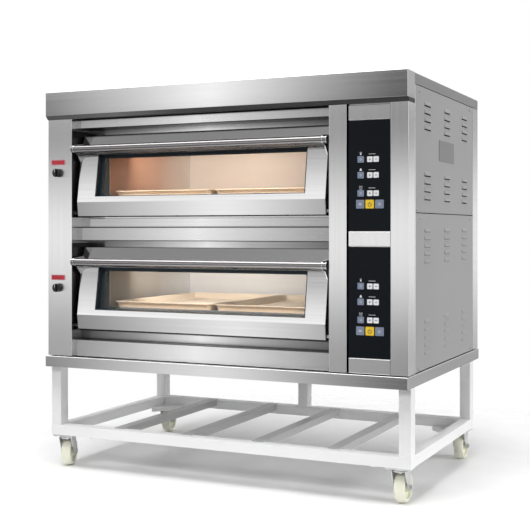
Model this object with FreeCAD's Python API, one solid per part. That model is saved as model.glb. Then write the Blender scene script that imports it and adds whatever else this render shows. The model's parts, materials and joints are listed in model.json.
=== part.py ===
import FreeCAD, Part
import math
import os

# Two-deck bakery oven on a castor stand. Millimetres.
# The pieces are drawn in cabinet coordinates: X from the left side to the right as seen
# from the front, Y from the hood's front face to the rear, Z up from the floor.
# save() then moves every piece to the origin at the middle of the overall box's underside.

V = FreeCAD.Vector

# ---- driving dimensions -------------------------------------------------------------
WIDTH = 1350.0            # hood and plinth, side to side
DEPTH = 891.0             # hood face to rear panel
HEIGHT = 1348.0           # floor to roof
KNOB_FRONT = -9.0         # selectors stand this far in front of the hood
SPIGOT_END = 931.0        # steam outlets behind the rear panel
SHEET = 1.5               # cabinet sheet thickness
BEND = 2.2                # outside radius of a fold in the sheet

CASTOR_HEIGHT = 118.0     # floor to underside of the stand
RAIL_TOP = 154.0
PLINTH_BOTTOM = 368.0
PLINTH_TOP = 406.0

DECK_PITCH = 400.0        # lower deck is this far below the upper deck
BODY_LEFT = 4.0
BODY_RIGHT = WIDTH - 4.0
HOOD_BACK = 73.0
ROOF_BOTTOM = 1314.0
SIDE_TOP = 1312.5         # side and rear sheets end just under the roof panel
HOOD_FOLD = 1264.0
FACE_TOP = 1250.0
FACE_BOTTOM = 408.0
FACE_Y = 14.0             # front plane of the columns
MOUTH_Y = 120.0           # plane of the chamber mouth plates

COLUMN_LEFT = 2.0
BAY_LEFT = 104.0          # door bay between the two inner column walls
BAY_RIGHT = 1086.0
STILE_RIGHT = 1146.0
CONTROL_LEFT = 1151.0
CONTROL_RIGHT = 1290.0
COLUMN_RIGHT = 1348.0
CONTROL_STRIPS = [(FACE_BOTTOM, 455.5), (804.5, 851.0), (1199.5, 1246.0)]
PANEL_Z = {"upper": (852.0, 1198.5), "lower": (456.5, 803.5)}

DOOR_LEFT = 118.0
DOOR_RIGHT = 1070.0
DOOR_BACK = 112.0
# door outline, upper deck: (Y, Z) from the bottom edge to the top edge
DOOR_FRONT = [(32.0, 902.0), (25.0, 955.0), (52.0, 1135.0), (74.0, 1195.0)]
WINDOW_X = (193.0, 999.0)
WINDOW_Z = (974.0, 1124.5)
WINDOW_DEPTH = 26.0       # slate frame lies this far behind the door's face
FRAME_BAND = 14.0
FRAME_THICK = 8.0
NOTCH_COUNT = 6
NOTCH_WIDTH = 9.0
NOTCH_HEIGHT = 4.0
NOTCH_DEPTH = 8.0
PIVOT_Y = 40.0
PIVOT_Z = 917.0
PIN_R = 6.0
BUSH_R = 8.0
RUNNING_GAP = 0.05        # radial clearance on pins and shafts
HOLE_GAP = 0.2            # radial clearance where a pin passes through a column

HANDLE_Y = 12.5
HANDLE_Z = 1143.0
HANDLE_R = 12.5
HANDLE_X = (108.5, 1079.5)

CHAMBER_X = (150.0, 1040.0)
CHAMBER_BACK = 790.0
CHAMBER_FLOOR = 905.0
CHAMBER_CEILING = 1185.0
MOUTH_Z = (951.0, 1155.0)       # opening in the mouth plate, upper deck
STONE_TOP = 973.0
STONE_THICK = 20.0
STONE_EASE = 2.0
LEDGE = (18.0, 8.0)             # width and height of the ledges under the stone
ELEMENT_COUNT = 6
ELEMENT_PITCH = 148.0
ELEMENT_FIRST = 75.0            # first hairpin's middle from the chamber's left wall
ELEMENT_BEND = 30.0             # half the distance between a hairpin's two legs
ELEMENT_R = 4.0
ELEMENT_FRONT = 175.0
ELEMENT_STANDOFF = 14.0         # from the chamber's ceiling or floor
LAMP_Y = 640.0
LAMP_Z = 1085.0
LAMP_BASE = (34.0, 5.0)         # radius and thickness
LAMP_DOME_R = 27.0
WOOL_X = (60.0, 1120.0)         # insulation round both chambers
WOOL_DEPTH = 50.0               # behind the chambers
WOOL_OVER = 60.0                # above the upper chamber and below the lower one
WOOL_GAP = 3.0

TRAY_WIDTH = 400.0
TRAY_LENGTH = 600.0
TRAY_HEIGHT = 25.0
TRAY_FRONT = 150.0
TRAY_GAP = 8.0
TRAY_LIP = 6.0            # the rim reaches this far out from the sloping walls
TRAY_FOOT = 12.0          # foot of the walls inside the rim's outline
TRAY_METAL = 1.5
TRAY_RIM = 3.0
TRAY_CORNER = 22.0
TRAY_REST = 0.1           # clearance under a tray

KNOB_X = 46.0
KNOB_Z = 1060.0
KNOB_PITCH = 410.0
KNOB_R = 15.0
KNOB_LENGTH = 12.0
KNOB_FACE = 6.0           # the round cap starts this far behind the grip's front
GRIP = (9.0, 27.0, 8.0)   # grip bar: width, height and depth
SHAFT_R = 4.0
SHAFT_LENGTH = 30.0
SELECTOR_BODY = (30.0, 48.0)    # width, and Y of its rear face
COLLAR = (13.5, 4.0)      # radius and thickness
NECK_R = 7.9
SELECTOR_HOLE_R = 8.0

LEG = (40.0, 45.0)
LEG_FRONT = 36.0
LEG_BACK = 812.0
TUBE_WALL = 2.0
DRAIN_R = 3.0
DRAIN_INSET = 160.0       # drain holes this far from the ends of a capped tube
LEG_INSET = 1.0           # legs and rails stand this far inside the plinth's sides
TOP_FRAME_INSET = SHEET + 0.3   # the top frame fits inside the plinth's skirt
GUSSET_REACH = 105.0
GUSSET_THICK = 4.0
GUSSET_LIP = (5.0, 14.0)  # width and drop of the turned-down edge
SLAT_COUNT = 4
SLAT_WIDTH = 40.0
SLAT_DROP = 22.0
SLAT_SHEET = 2.5
SLAT_LAP = 14.0           # each slat's top laps this far onto the rails
WHEEL_R = 50.0
WHEEL_WIDTH = 34.0
CROWN = 5.0               # the tread's middle stands this much above its shoulders
WHEEL_EASE = 3.0          # rounding of the tread's shoulders
DISH = (37.0, 15.0, 9.0)  # outer radius, inner radius and depth of the recess in each side
HUB = (13.0, 41.0)        # radius and length
TRAIL = 26.0              # wheel axle behind the kingpin
AXLE_R = 5.0
AXLE_LENGTH = 58.0
AXLE_NUT = (8.5, 6.0)     # corner radius and thickness
KINGPIN_X = 45.0
KINGPIN_FRONT_Y = 70.0
KINGPIN_REAR_Y = 778.0
KINGPIN_R = 5.0
TOP_PLATE = (84.0, 66.0, 4.0)   # length, width and thickness
TOP_PLATE_CORNER = 6.0
BOLT_SPACING = (68.0, 50.0)
BOLT_HEAD = (5.5, 3.5)    # radius and height
CUP = (26.0, 5.0)         # radius and depth
CUP_GAP = 0.5             # between the cup and the fork's crown
CROWN_PLATE = (29.0, 3.5)       # radius and thickness
FORK_HALF = 24.0          # outer face of a fork leg from the kingpin
FORK_LEG = 3.0

ORIGIN = V(WIDTH / 2.0, (KNOB_FRONT + SPIGOT_END) / 2.0, 0.0)
DECKS = {"upper": 0.0, "lower": -DECK_PITCH}


# ---- helpers ------------------------------------------------------------------------
def box(x0, x1, y0, y1, z0, z1):
    return Part.makeBox(x1 - x0, y1 - y0, z1 - z0, V(x0, y0, z0))


def rod(start, direction, radius, length):
    return Part.makeCylinder(radius, length, V(*start), V(*direction))


def ring(start, direction, outer, inner, length):
    return rod(start, direction, outer, length).cut(rod(start, direction, inner, length))


def outline(points, radius=0.0):
    """Closed wire through 3-D points, with every corner rounded to the radius."""
    corners = [V(*p) for p in points]
    if radius <= 0:
        return Part.makePolygon(corners + [corners[0]])
    edges = []
    ends = []
    for i, corner in enumerate(corners):
        before = (corners[i - 1] - corner).normalize()
        after = (corners[(i + 1) % len(corners)] - corner).normalize()
        half = before.getAngle(after) / 2.0
        reach = radius / math.tan(half)
        middle = (before + after).normalize()
        arc_mid = corner + middle * (radius / math.sin(half) - radius)
        ends.append((corner + before * reach, arc_mid, corner + after * reach))
    for i, (first, mid, last) in enumerate(ends):
        edges.append(Part.Arc(first, mid, last).toShape())
        edges.append(Part.LineSegment(last, ends[(i + 1) % len(ends)][0]).toShape())
    return Part.Wire(edges)


def prism_x(points, x0, x1, radius=0.0):
    """Extrude a (Y, Z) outline along X."""
    wire = outline([(x0, y, z) for y, z in points], radius)
    return Part.Face(wire).extrude(V(x1 - x0, 0, 0))


def prism_y(points, y0, y1, radius=0.0):
    """Extrude an (X, Z) outline along Y."""
    wire = outline([(x, y0, z) for x, z in points], radius)
    return Part.Face(wire).extrude(V(0, y1 - y0, 0))


def prism_z(points, z0, z1, radius=0.0):
    """Extrude an (X, Y) outline along Z."""
    wire = outline([(x, y, z0) for x, y in points], radius)
    return Part.Face(wire).extrude(V(0, 0, z1 - z0))


def slab_y(x0, x1, y0, y1, z0, z1, radius):
    """Plate facing the front with rounded corners."""
    return prism_y([(x0, z0), (x1, z0), (x1, z1), (x0, z1)], y0, y1, radius)


def sheet(points, thickness):
    """Outline of a folded strip whose one side follows the points; the other lies to their left."""
    left = []
    count = len(points)
    for i in range(count):
        normals = []
        if i > 0:
            normals.append(unit_normal(points[i - 1], points[i]))
        if i < count - 1:
            normals.append(unit_normal(points[i], points[i + 1]))
        nx = sum(n[0] for n in normals)
        ny = sum(n[1] for n in normals)
        scale = thickness / ((nx * nx + ny * ny) / len(normals))
        left.append((points[i][0] + nx * scale, points[i][1] + ny * scale))
    return points + left[::-1]


def unit_normal(a, b):
    dx = b[0] - a[0]
    dy = b[1] - a[1]
    size = math.hypot(dx, dy)
    return (-dy / size, dx / size)


def fuse(shapes):
    result = shapes[0].multiFuse(shapes[1:]) if len(shapes) > 1 else shapes[0]
    return result.removeSplitter()


def cut(shape, tools):
    return shape.cut(Part.makeCompound(tools))


def moved(shape, x=0.0, y=0.0, z=0.0):
    copy = shape.copy()
    copy.translate(V(x, y, z))
    return copy


def turned(shape, centre, angle):
    """Turned about the vertical axis through the centre, in degrees."""
    copy = shape.copy()
    copy.rotate(V(*centre), V(0, 0, 1), angle)
    return copy


def mirrored(shape):
    """The same piece on the other side of the cabinet."""
    return shape.mirror(V(WIDTH / 2.0, 0, 0), V(1, 0, 0))


def save(name, *shapes):
    pieces = []
    for shape in shapes:
        pieces.extend(shape.Solids)
    group = Part.makeCompound([moved(s, -ORIGIN.x, -ORIGIN.y, -ORIGIN.z) for s in pieces])
    bad = [s for s in pieces if not s.isValid()]
    size = group.BoundBox
    print("%-26s solids %2d bad %d  x %.1f..%.1f y %.1f..%.1f z %.1f..%.1f" % (
        name, len(pieces), len(bad), size.XMin, size.XMax, size.YMin, size.YMax, size.ZMin, size.ZMax))
    shape = group if len(pieces) > 1 else group.Solids[0]
    shape.exportStep("parts/" + name + ".step")


os.makedirs("parts", exist_ok=True)


# ---- stand --------------------------------------------------------------------------
def square_tube(x0, x1, y0, y1, z0, z1, capped=False):
    """Tube along its longest side, with rounded long edges; its ends are open unless capped."""
    tube = box(x0, x1, y0, y1, z0, z1)
    longest = max(x1 - x0, y1 - y0, z1 - z0)
    tube = tube.makeFillet(BEND, [e for e in tube.Edges if abs(e.Length - longest) < 0.01])
    inset = [TUBE_WALL] * 3
    for i, size in enumerate((x1 - x0, y1 - y0, z1 - z0)):
        if size == longest and not capped:
            inset[i] = 0.0
    core = box(x0 + inset[0], x1 - inset[0], y0 + inset[1], y1 - inset[1],
               z0 + inset[2], z1 - inset[2])
    return tube.cut(core)


def drained(tube):
    """A capped front or rear tube with a small drain hole underneath, near each end."""
    ends = (tube.BoundBox.XMin + DRAIN_INSET, tube.BoundBox.XMax - DRAIN_INSET)
    y = tube.BoundBox.Center.y
    return cut(tube, [rod((x, y, tube.BoundBox.ZMin - 1), (0, 0, 1), DRAIN_R, TUBE_WALL + 2) for x in ends])


def stand_legs():
    """Four corner legs and one middle rear leg, standing on the lower rails."""
    legs = []
    for x in (LEG_INSET, WIDTH - LEG_INSET - LEG[0]):
        for y in (LEG_FRONT, LEG_BACK - LEG[1]):
            legs.append(square_tube(x, x + LEG[0], y, y + LEG[1], RAIL_TOP, PLINTH_BOTTOM))
    middle = WIDTH / 2.0
    legs.append(square_tube(middle - LEG[0] / 2, middle + LEG[0] / 2, LEG_BACK - LEG[1], LEG_BACK,
                            RAIL_TOP, PLINTH_BOTTOM))
    return legs


def frame_ring(z0, z1, inset):
    """Front and rear tubes over the full width, and the left and right tubes between them."""
    x0 = inset
    x1 = WIDTH - inset
    front = drained(square_tube(x0, x1, LEG_FRONT, LEG_FRONT + LEG[1], z0, z1, True))
    rear = moved(front, y=LEG_BACK - LEG_FRONT - LEG[1])
    left = square_tube(x0, x0 + LEG[0], LEG_FRONT + LEG[1], LEG_BACK - LEG[1], z0, z1)
    return [front, rear, left, mirrored(left)]


def stand_slats():
    """Inverted channels between the front and rear rails, their tops lapping onto the rails."""
    slats = []
    half = SLAT_WIDTH / 2.0
    y0 = LEG_FRONT + LEG[1]
    y1 = LEG_BACK - LEG[1]
    for i in range(SLAT_COUNT):
        x = WIDTH * (i + 1) / (SLAT_COUNT + 1)
        top = box(x - half, x + half, y0 - SLAT_LAP, y1 + SLAT_LAP, RAIL_TOP, RAIL_TOP + SLAT_SHEET)
        left = box(x - half, x - half + SLAT_SHEET, y0, y1, RAIL_TOP - SLAT_DROP, RAIL_TOP)
        right = box(x + half - SLAT_SHEET, x + half, y0, y1, RAIL_TOP - SLAT_DROP, RAIL_TOP)
        slats.append(fuse([top, left, right]))
    return slats


def corner_gussets():
    """Triangular plates welded in the corners of the lower frame, with a turned-down edge."""
    x0 = LEG_INSET + LEG[0]
    y0 = LEG_FRONT + LEG[1]
    x1 = x0 + GUSSET_REACH
    y1 = y0 + GUSSET_REACH
    low = CASTOR_HEIGHT
    width, drop = GUSSET_LIP
    plate = prism_z([(x0, y0), (x1, y0), (x0, y1)], low, low + GUSSET_THICK)
    lip = prism_z([(x1, y0), (x0, y1), (x0, y1 - width), (x1 - width, y0)], low - drop, low + GUSSET_THICK)
    front = fuse([plate, lip])
    middle = (LEG_FRONT + LEG_BACK) / 2.0
    rear = front.mirror(V(0, middle, 0), V(0, 1, 0))
    return [front, rear, mirrored(front), mirrored(rear)]


save("stand_legs", *stand_legs())
save("stand_lower_rails", *frame_ring(CASTOR_HEIGHT, RAIL_TOP, LEG_INSET))
save("stand_top_frame", *frame_ring(PLINTH_BOTTOM, PLINTH_TOP - SHEET, TOP_FRAME_INSET))
save("stand_slats", *stand_slats())
save("corner_gussets", *corner_gussets())


# ---- castors ------------------------------------------------------------------------
def castor_plate(x, y):
    """Fixed top plate with its bearing cup, kingpin, nut and four bolt heads."""
    top = CASTOR_HEIGHT
    length, width, thick = TOP_PLATE
    under = top - thick
    plate = prism_z([(x - length / 2, y - width / 2), (x + length / 2, y - width / 2),
                     (x + length / 2, y + width / 2), (x - length / 2, y + width / 2)],
                    under, top, TOP_PLATE_CORNER)
    cup = rod((x, y, under - CUP[1]), (0, 0, 1), CUP[0], CUP[1])
    kingpin = rod((x, y, under - 15), (0, 0, 1), KINGPIN_R, 15)
    nut = rod((x, y, under - 16), (0, 0, 1), 9, 4.5)
    heads = []
    for dx in (-BOLT_SPACING[0] / 2, BOLT_SPACING[0] / 2):
        for dy in (-BOLT_SPACING[1] / 2, BOLT_SPACING[1] / 2):
            heads.append(rod((x + dx, y + dy, under - BOLT_HEAD[1]), (0, 0, 1), *BOLT_HEAD))
    return fuse([plate, cup, kingpin, nut] + heads)


def castor_fork(x, y):
    """Crown turning under the cup, two curved legs, and the axle bolt; the wheel trails to the rear."""
    top = CASTOR_HEIGHT - TOP_PLATE[2] - CUP[1] - CUP_GAP
    wheel_y = y + TRAIL
    half = FORK_HALF
    crown_r, crown_thick = CROWN_PLATE
    crown = rod((x, y, top - crown_thick), (0, 0, 1), crown_r, crown_thick)
    crown = crown.common(box(x - half, x + half, y - 40, y + 40, 0, top + 1))
    leg_points = [(y - 26, top), (y + 26, top), (y + 31, 84), (wheel_y + 13, 42), (wheel_y - 12, 40),
                  (y - 9, 74)]
    leg = prism_x(leg_points, x - half, x - half + FORK_LEG)
    other = prism_x(leg_points, x + half - FORK_LEG, x + half)
    body = fuse([crown, leg, other])
    body = body.cut(rod((x, y, 80), (0, 0, 1), KINGPIN_R + RUNNING_GAP, 60))
    body = body.cut(rod((x - 40, wheel_y, WHEEL_R), (1, 0, 0), AXLE_R, 80))
    axle = rod((x - 28, wheel_y, WHEEL_R), (1, 0, 0), AXLE_R, AXLE_LENGTH)
    head = hexagon((x + half, wheel_y, WHEEL_R), *AXLE_NUT)
    nut = hexagon((x - half - AXLE_NUT[1], wheel_y, WHEEL_R), *AXLE_NUT)
    bolt = fuse([axle, head, nut])
    return [body, bolt]


def hexagon(start, size, length):
    """Hexagonal bar along X, its corners at the radius size."""
    points = []
    for i in range(6):
        angle = math.radians(60 * i)
        points.append((start[1] + size * math.cos(angle), start[2] + size * math.sin(angle)))
    return prism_x(points, start[0], start[0] + length)


def castor_wheel(x, wheel_y):
    """Nylon wheel with crowned tread, recessed web and a hub bored for the axle."""
    half = WHEEL_WIDTH / 2.0
    shoulder = WHEEL_R - CROWN
    tread = Part.Arc(V(-half, 0, shoulder), V(0, 0, WHEEL_R), V(half, 0, shoulder)).toShape()
    sides = Part.makePolygon([V(half, 0, shoulder), V(half, 0, 0), V(-half, 0, 0), V(-half, 0, shoulder)])
    section = Part.Face(Part.Wire([tread] + sides.Edges))
    tyre = section.revolve(V(0, 0, 0), V(1, 0, 0), 360)
    rims = [e for e in tyre.Edges if abs(e.Length - 2 * math.pi * shoulder) < 1]
    tyre = tyre.makeFillet(WHEEL_EASE, rims)
    tyre.translate(V(x, wheel_y, WHEEL_R))
    outer, inner, depth = DISH
    dishes = []
    for start in (x - half - 1, x + half - depth):
        dishes.append(ring((start, wheel_y, WHEEL_R), (1, 0, 0), outer, inner, depth + 1))
    hub = rod((x - HUB[1] / 2, wheel_y, WHEEL_R), (1, 0, 0), *HUB)
    wheel = fuse([cut(tyre, dishes), hub])
    return wheel.cut(rod((x - 40, wheel_y, WHEEL_R), (1, 0, 0), AXLE_R + RUNNING_GAP, 80))


# kingpin place and the angle that each castor stands turned to
CASTORS = {
    "front_left": (KINGPIN_X, KINGPIN_FRONT_Y, 18.0),
    "front_right": (WIDTH - KINGPIN_X, KINGPIN_FRONT_Y, 0.0),
    "rear_left": (KINGPIN_X, KINGPIN_REAR_Y, 10.0),
    "rear_right": (WIDTH - KINGPIN_X, KINGPIN_REAR_Y, 0.0),
}
save("castor_top_plates", *[castor_plate(x, y) for x, y, turn in CASTORS.values()])
for corner, (cx, cy, turn) in CASTORS.items():
    fork_solids = [turned(s, (cx, cy, 0), turn) for s in castor_fork(cx, cy)]
    save(corner + "_castor_fork", *fork_solids)
    save(corner + "_castor_wheel", turned(castor_wheel(cx, cy + TRAIL), (cx, cy, 0), turn))


# ---- cabinet shells -----------------------------------------------------------------
def tray_shell(x0, x1, y0, y1, z0, z1, open_side, bend=BEND):
    """Box of sheet with rounded folds and one side open: x0, x1, y0, y1, z0 or z1."""
    inner = {"x0": x0 + SHEET, "x1": x1 - SHEET, "y0": y0 + SHEET, "y1": y1 - SHEET,
             "z0": z0 + SHEET, "z1": z1 - SHEET}
    inner[open_side] += -2 * SHEET if open_side.endswith("0") else 2 * SHEET
    core = box(inner["x0"], inner["x1"], inner["y0"], inner["y1"], inner["z0"], inner["z1"])
    outer = box(x0, x1, y0, y1, z0, z1)
    lip = {"x0": x0, "x1": x1, "y0": y0, "y1": y1, "z0": z0, "z1": z1}[open_side]
    folds = [e for e in outer.Edges if not all(abs(getattr(v, open_side[0].upper()) - lip) < 0.01
                                               for v in e.Vertexes)]
    return outer.makeFillet(bend, folds).cut(core)


def hood_fascia():
    outer = prism_x([(0, HOOD_FOLD), (0, HEIGHT), (HOOD_BACK, HEIGHT), (HOOD_BACK, FACE_TOP),
                     (FACE_Y, FACE_TOP)], 0, WIDTH)
    t = SHEET
    inner = prism_x([(t, HOOD_FOLD + t / 2), (t, HEIGHT - t), (HOOD_BACK + t, HEIGHT - t),
                     (HOOD_BACK + t, FACE_TOP + t), (FACE_Y + t / 2, FACE_TOP + t)], t, WIDTH - t)
    folds = [e for e in outer.Edges if e.CenterOfMass.y < HOOD_BACK - 0.1]
    return outer.makeFillet(BEND, folds).cut(inner)


def plinth_skirt():
    return tray_shell(0, WIDTH, 0, DEPTH, PLINTH_BOTTOM, PLINTH_TOP, "z0")


save("hood_fascia", hood_fascia())
save("roof_panel", tray_shell(BODY_LEFT, BODY_RIGHT, HOOD_BACK, DEPTH, ROOF_BOTTOM, HEIGHT, "z0"))
save("plinth_skirt", plinth_skirt())


def channel(points):
    """Folded upright: (X, Y) path of its outer face, from the foot to the top of the facade."""
    upright = prism_z(sheet(points, SHEET), FACE_BOTTOM, FACE_TOP)
    folds = []
    for x, y in points[1:-1]:
        folds += [e for e in upright.Edges if math.hypot(e.CenterOfMass.x - x, e.CenterOfMass.y - y) < 0.01]
    return upright.makeFillet(BEND, folds)


def left_column():
    column = channel([(BAY_LEFT, MOUTH_Y), (BAY_LEFT, FACE_Y), (COLUMN_LEFT, FACE_Y),
                      (COLUMN_LEFT, HOOD_BACK)][::-1])
    holes = []
    for drop in (0.0, KNOB_PITCH):
        holes.append(rod((KNOB_X, FACE_Y - 5, KNOB_Z - drop), (0, 1, 0), SELECTOR_HOLE_R, 20))
    for drop in DECKS.values():
        holes.append(rod((BAY_LEFT - 10, PIVOT_Y, PIVOT_Z + drop), (1, 0, 0), PIN_R + HOLE_GAP, 20))
    return cut(column, holes)


def control_bay_frame():
    """Stile beside the doors, outer column and the three strips between the control panels."""
    stile = channel([(BAY_RIGHT, MOUTH_Y), (BAY_RIGHT, FACE_Y), (STILE_RIGHT, FACE_Y),
                     (STILE_RIGHT, FACE_Y + 10)])
    holes = []
    for drop in DECKS.values():
        holes.append(rod((BAY_RIGHT - 10, PIVOT_Y, PIVOT_Z + drop), (1, 0, 0), PIN_R + HOLE_GAP, 20))
    stile = cut(stile, holes)
    outer = channel([(CONTROL_RIGHT, FACE_Y + 10), (CONTROL_RIGHT, FACE_Y), (COLUMN_RIGHT, FACE_Y),
                     (COLUMN_RIGHT, HOOD_BACK)])
    backing = box(STILE_RIGHT - 20, CONTROL_RIGHT + 20, FACE_Y + 10, FACE_Y + 10 + SHEET,
                  FACE_BOTTOM, FACE_TOP)
    pieces = [stile, outer, backing]
    for low, high in CONTROL_STRIPS:
        pieces.append(tray_shell(CONTROL_LEFT, CONTROL_RIGHT - 0.5, FACE_Y + 2, FACE_Y + 10, low, high, "y1"))
    return pieces


save("left_column", left_column())
save("control_bay_frame", *control_bay_frame())


LOUVRE_Y = (186.0, 420.0, 652.0)
LOUVRE_LENGTH = 76.0
LOUVRE_SKIN = 0.9
LOUVRE_RISE = 3.4         # how far a hood stands out from the panel
LOUVRE_FOOT = 5.0         # a hood's open lower edge below its row
LOUVRE_HEAD = 9.0         # its upper edge above its row
LOUVRE_SLOPE = 4.0        # how far a hood's ends slope in at its head
SLOT_INSET = 3.0          # slot ends inside the hood's ends
SLOT_HEAD = 2.0           # slot's upper edge above its row
UPPER_OPENING = 3.2       # how far a slot shows below its hood, upper panel
LOWER_OPENING = 1.2
PANEL_Y = (95.5, 812.5)
PANEL_FOLD = 14.0
PANEL_SEAM = 910.0
UPPER_ROWS = [1262.0 - 25.4 * i for i in range(4)] + [1036.0 - 25.4 * i for i in range(4)]
LOWER_ROWS = [855.0 - 25.0 * i for i in range(5)] + [563.0 - 25.4 * i for i in range(5)]
# (Y, Z) of every screw in the right-hand panels
SCREWS = [(137, 1295), (769, 1299), (104, 920), (795, 922), (145, 893), (769, 896), (126, 418), (769, 418)]
SCREW_HEAD = (5.0, 2.2)   # radius and height
SCREW_SHANK = (2.0, 8.0)  # radius and length


def side_panel(z0, z1, louvre_rows, opening):
    """Right-hand panel: a shallow folded tray with pressed louvres."""
    tray = tray_shell(BODY_RIGHT - PANEL_FOLD, BODY_RIGHT, *PANEL_Y, z0, z1, "x0")
    slots = []
    hoods = []
    for y in LOUVRE_Y:
        for z in louvre_rows:
            slots.append(box(BODY_RIGHT - 3, BODY_RIGHT + 1, y + SLOT_INSET, y + LOUVRE_LENGTH - SLOT_INSET,
                             z - LOUVRE_FOOT - opening, z + SLOT_HEAD))
            hoods.append(louvre(y, z))
    return cut(fuse([tray] + hoods), slots)


def louvre_solid(y, z, skin):
    """Tapered block of a louvre hood, or the hollow under its skin when skin is not 0."""
    foot = z - LOUVRE_FOOT - (1 if skin else 0)
    head = z + LOUVRE_HEAD - skin
    root = BODY_RIGHT - (1 if skin else 0)
    crest = BODY_RIGHT + LOUVRE_RISE - skin
    start = y + skin
    end = y + LOUVRE_LENGTH - skin
    against_panel = outline([(root, start, foot), (root, end, foot), (root, end - LOUVRE_SLOPE, head),
                             (root, start + LOUVRE_SLOPE, head)])
    outermost = outline([(crest, start + 5, foot), (crest, end - 5, foot), (crest, end - 6, z - 1 - skin),
                         (crest, start + 6, z - 1 - skin)])
    return Part.makeLoft([against_panel, outermost], True)


def louvre(y, z):
    """Pressed hood over one slot, open underneath, with sloping ends."""
    return louvre_solid(y, z, 0).cut(louvre_solid(y, z, LOUVRE_SKIN))


def screw(y, z):
    """Pan-head screw standing on the right-hand panel."""
    radius, height = SCREW_HEAD
    head = rod((BODY_RIGHT, y, z), (1, 0, 0), radius, height)
    rim = [e for e in head.Edges if abs(e.CenterOfMass.x - BODY_RIGHT - height) < 0.1 and
           abs(e.Length - 2 * math.pi * radius) < 0.1]
    shank = rod((BODY_RIGHT - SCREW_SHANK[1], y, z), (1, 0, 0), *SCREW_SHANK)
    return fuse([head.makeFillet(1.2, rim), shank])


def side_set():
    upper = side_panel(PANEL_SEAM + 1, SIDE_TOP, UPPER_ROWS, UPPER_OPENING)
    lower = side_panel(FACE_BOTTOM, PANEL_SEAM - 1, LOWER_ROWS, LOWER_OPENING)
    holes = [rod((BODY_RIGHT - 20, y, z), (1, 0, 0), SCREW_SHANK[0], 40) for y, z in SCREWS]
    return [cut(upper, holes), cut(lower, holes)]


right_panels = side_set()
BLANK_PLATE_Y = (358.0, 544.0)
BLANK_PLATE_Z = (1087.0, 1157.0)
BLANK_PLATE_THICK = 1.2
blank_plate = box(BODY_RIGHT, BODY_RIGHT + BLANK_PLATE_THICK, *BLANK_PLATE_Y, *BLANK_PLATE_Z)
save("right_side_panels", blank_plate, *right_panels)
save("left_side_panels", *[mirrored(p) for p in right_panels])
right_screws = [screw(y, z) for y, z in SCREWS]
save("panel_screws", *(right_screws + [mirrored(s) for s in right_screws]))


def corner_posts():
    """Folded uprights that close the gaps before and behind each side panel."""
    rear_face = DEPTH - SHEET - 0.5
    front = sheet([(BODY_RIGHT - 30, HOOD_BACK), (BODY_RIGHT, HOOD_BACK), (BODY_RIGHT, PANEL_Y[0] - 1)], SHEET)
    rear = sheet([(BODY_RIGHT, PANEL_Y[1] + 1), (BODY_RIGHT, rear_face), (BODY_RIGHT - 56, rear_face)], SHEET)
    posts = [prism_z(path, FACE_BOTTOM, SIDE_TOP) for path in (front, rear)]
    return posts + [mirrored(p) for p in posts]


save("corner_posts", *corner_posts())

SPIGOT_X = (420.0, 760.0)
SPIGOT_Z = 1210.0
SPIGOT_R = 30.0
SPIGOT_BORE = 28.5
SPIGOT_FLANGE = (48.0, 3.0)     # radius and thickness
GLAND_X = 1245.0
GLAND_Z = 470.0
GLAND_NUT = (20.0, 8.0)   # corner radius and thickness
GLAND_DOME = (16.0, 20.0)       # radius and length
GLAND_THREAD = (15.8, 12.0)     # radius and length
GLAND_BORE = 9.0
VENT_COUNT = 8
VENT_PITCH = 22.0
VENT_BOTTOM = 560.0
VENT_HEIGHT = 6.0


def rear_panel():
    """Flat sheet with two steam openings, the gland's hole and a group of vent slots."""
    plate = box(BODY_LEFT + 1, BODY_RIGHT - 1, DEPTH - SHEET, DEPTH, FACE_BOTTOM, SIDE_TOP)
    holes = []
    for x in SPIGOT_X:
        holes.append(rod((x, DEPTH - 10, SPIGOT_Z), (0, 1, 0), SPIGOT_BORE, 20))
    holes.append(rod((GLAND_X, DEPTH - 10, GLAND_Z), (0, 1, 0), GLAND_DOME[0], 20))
    for row in range(VENT_COUNT):
        z = VENT_BOTTOM + VENT_PITCH * row
        holes.append(slab_y(GLAND_X - 90, GLAND_X + 30, DEPTH - 10, DEPTH + 10, z, z + VENT_HEIGHT, 2.9))
    return cut(plate, holes)


def spigot(x):
    """Round steam outlet with its flange on the rear panel."""
    tube = ring((x, DEPTH, SPIGOT_Z), (0, 1, 0), SPIGOT_R, SPIGOT_BORE, SPIGOT_END - DEPTH)
    flange = ring((x, DEPTH, SPIGOT_Z), (0, 1, 0), SPIGOT_FLANGE[0], SPIGOT_BORE, SPIGOT_FLANGE[1])
    return fuse([tube, flange])


def cable_gland():
    """Empty gland for a mains cable: hexagonal nut, domed cap and threaded end."""
    size, thick = GLAND_NUT
    corners = [math.radians(60 * i) for i in range(6)]
    nut = prism_y([(GLAND_X + size * math.cos(a), GLAND_Z + size * math.sin(a)) for a in corners],
                  DEPTH, DEPTH + thick)
    dome_end = DEPTH + thick + GLAND_DOME[1]
    dome = rod((GLAND_X, DEPTH + thick, GLAND_Z), (0, 1, 0), *GLAND_DOME)
    dome = dome.makeFillet(5, [e for e in dome.Edges if abs(e.CenterOfMass.y - dome_end) < 0.1])
    thread = rod((GLAND_X, DEPTH - GLAND_THREAD[1], GLAND_Z), (0, 1, 0), *GLAND_THREAD)
    return fuse([nut, dome, thread]).cut(rod((GLAND_X, DEPTH - 20, GLAND_Z), (0, 1, 0), GLAND_BORE, 60))


save("rear_panel", rear_panel())
save("steam_outlets", *[spigot(x) for x in SPIGOT_X])
save("cable_gland", cable_gland())


# ---- cross bars, sills and mouth plates ---------------------------------------------
HEADER_BOTTOM = 1217.0
SILL_Z = CHAMBER_FLOOR - 10
SILL_DROP = 27.0          # the sill's front edge turns down by this much


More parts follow.
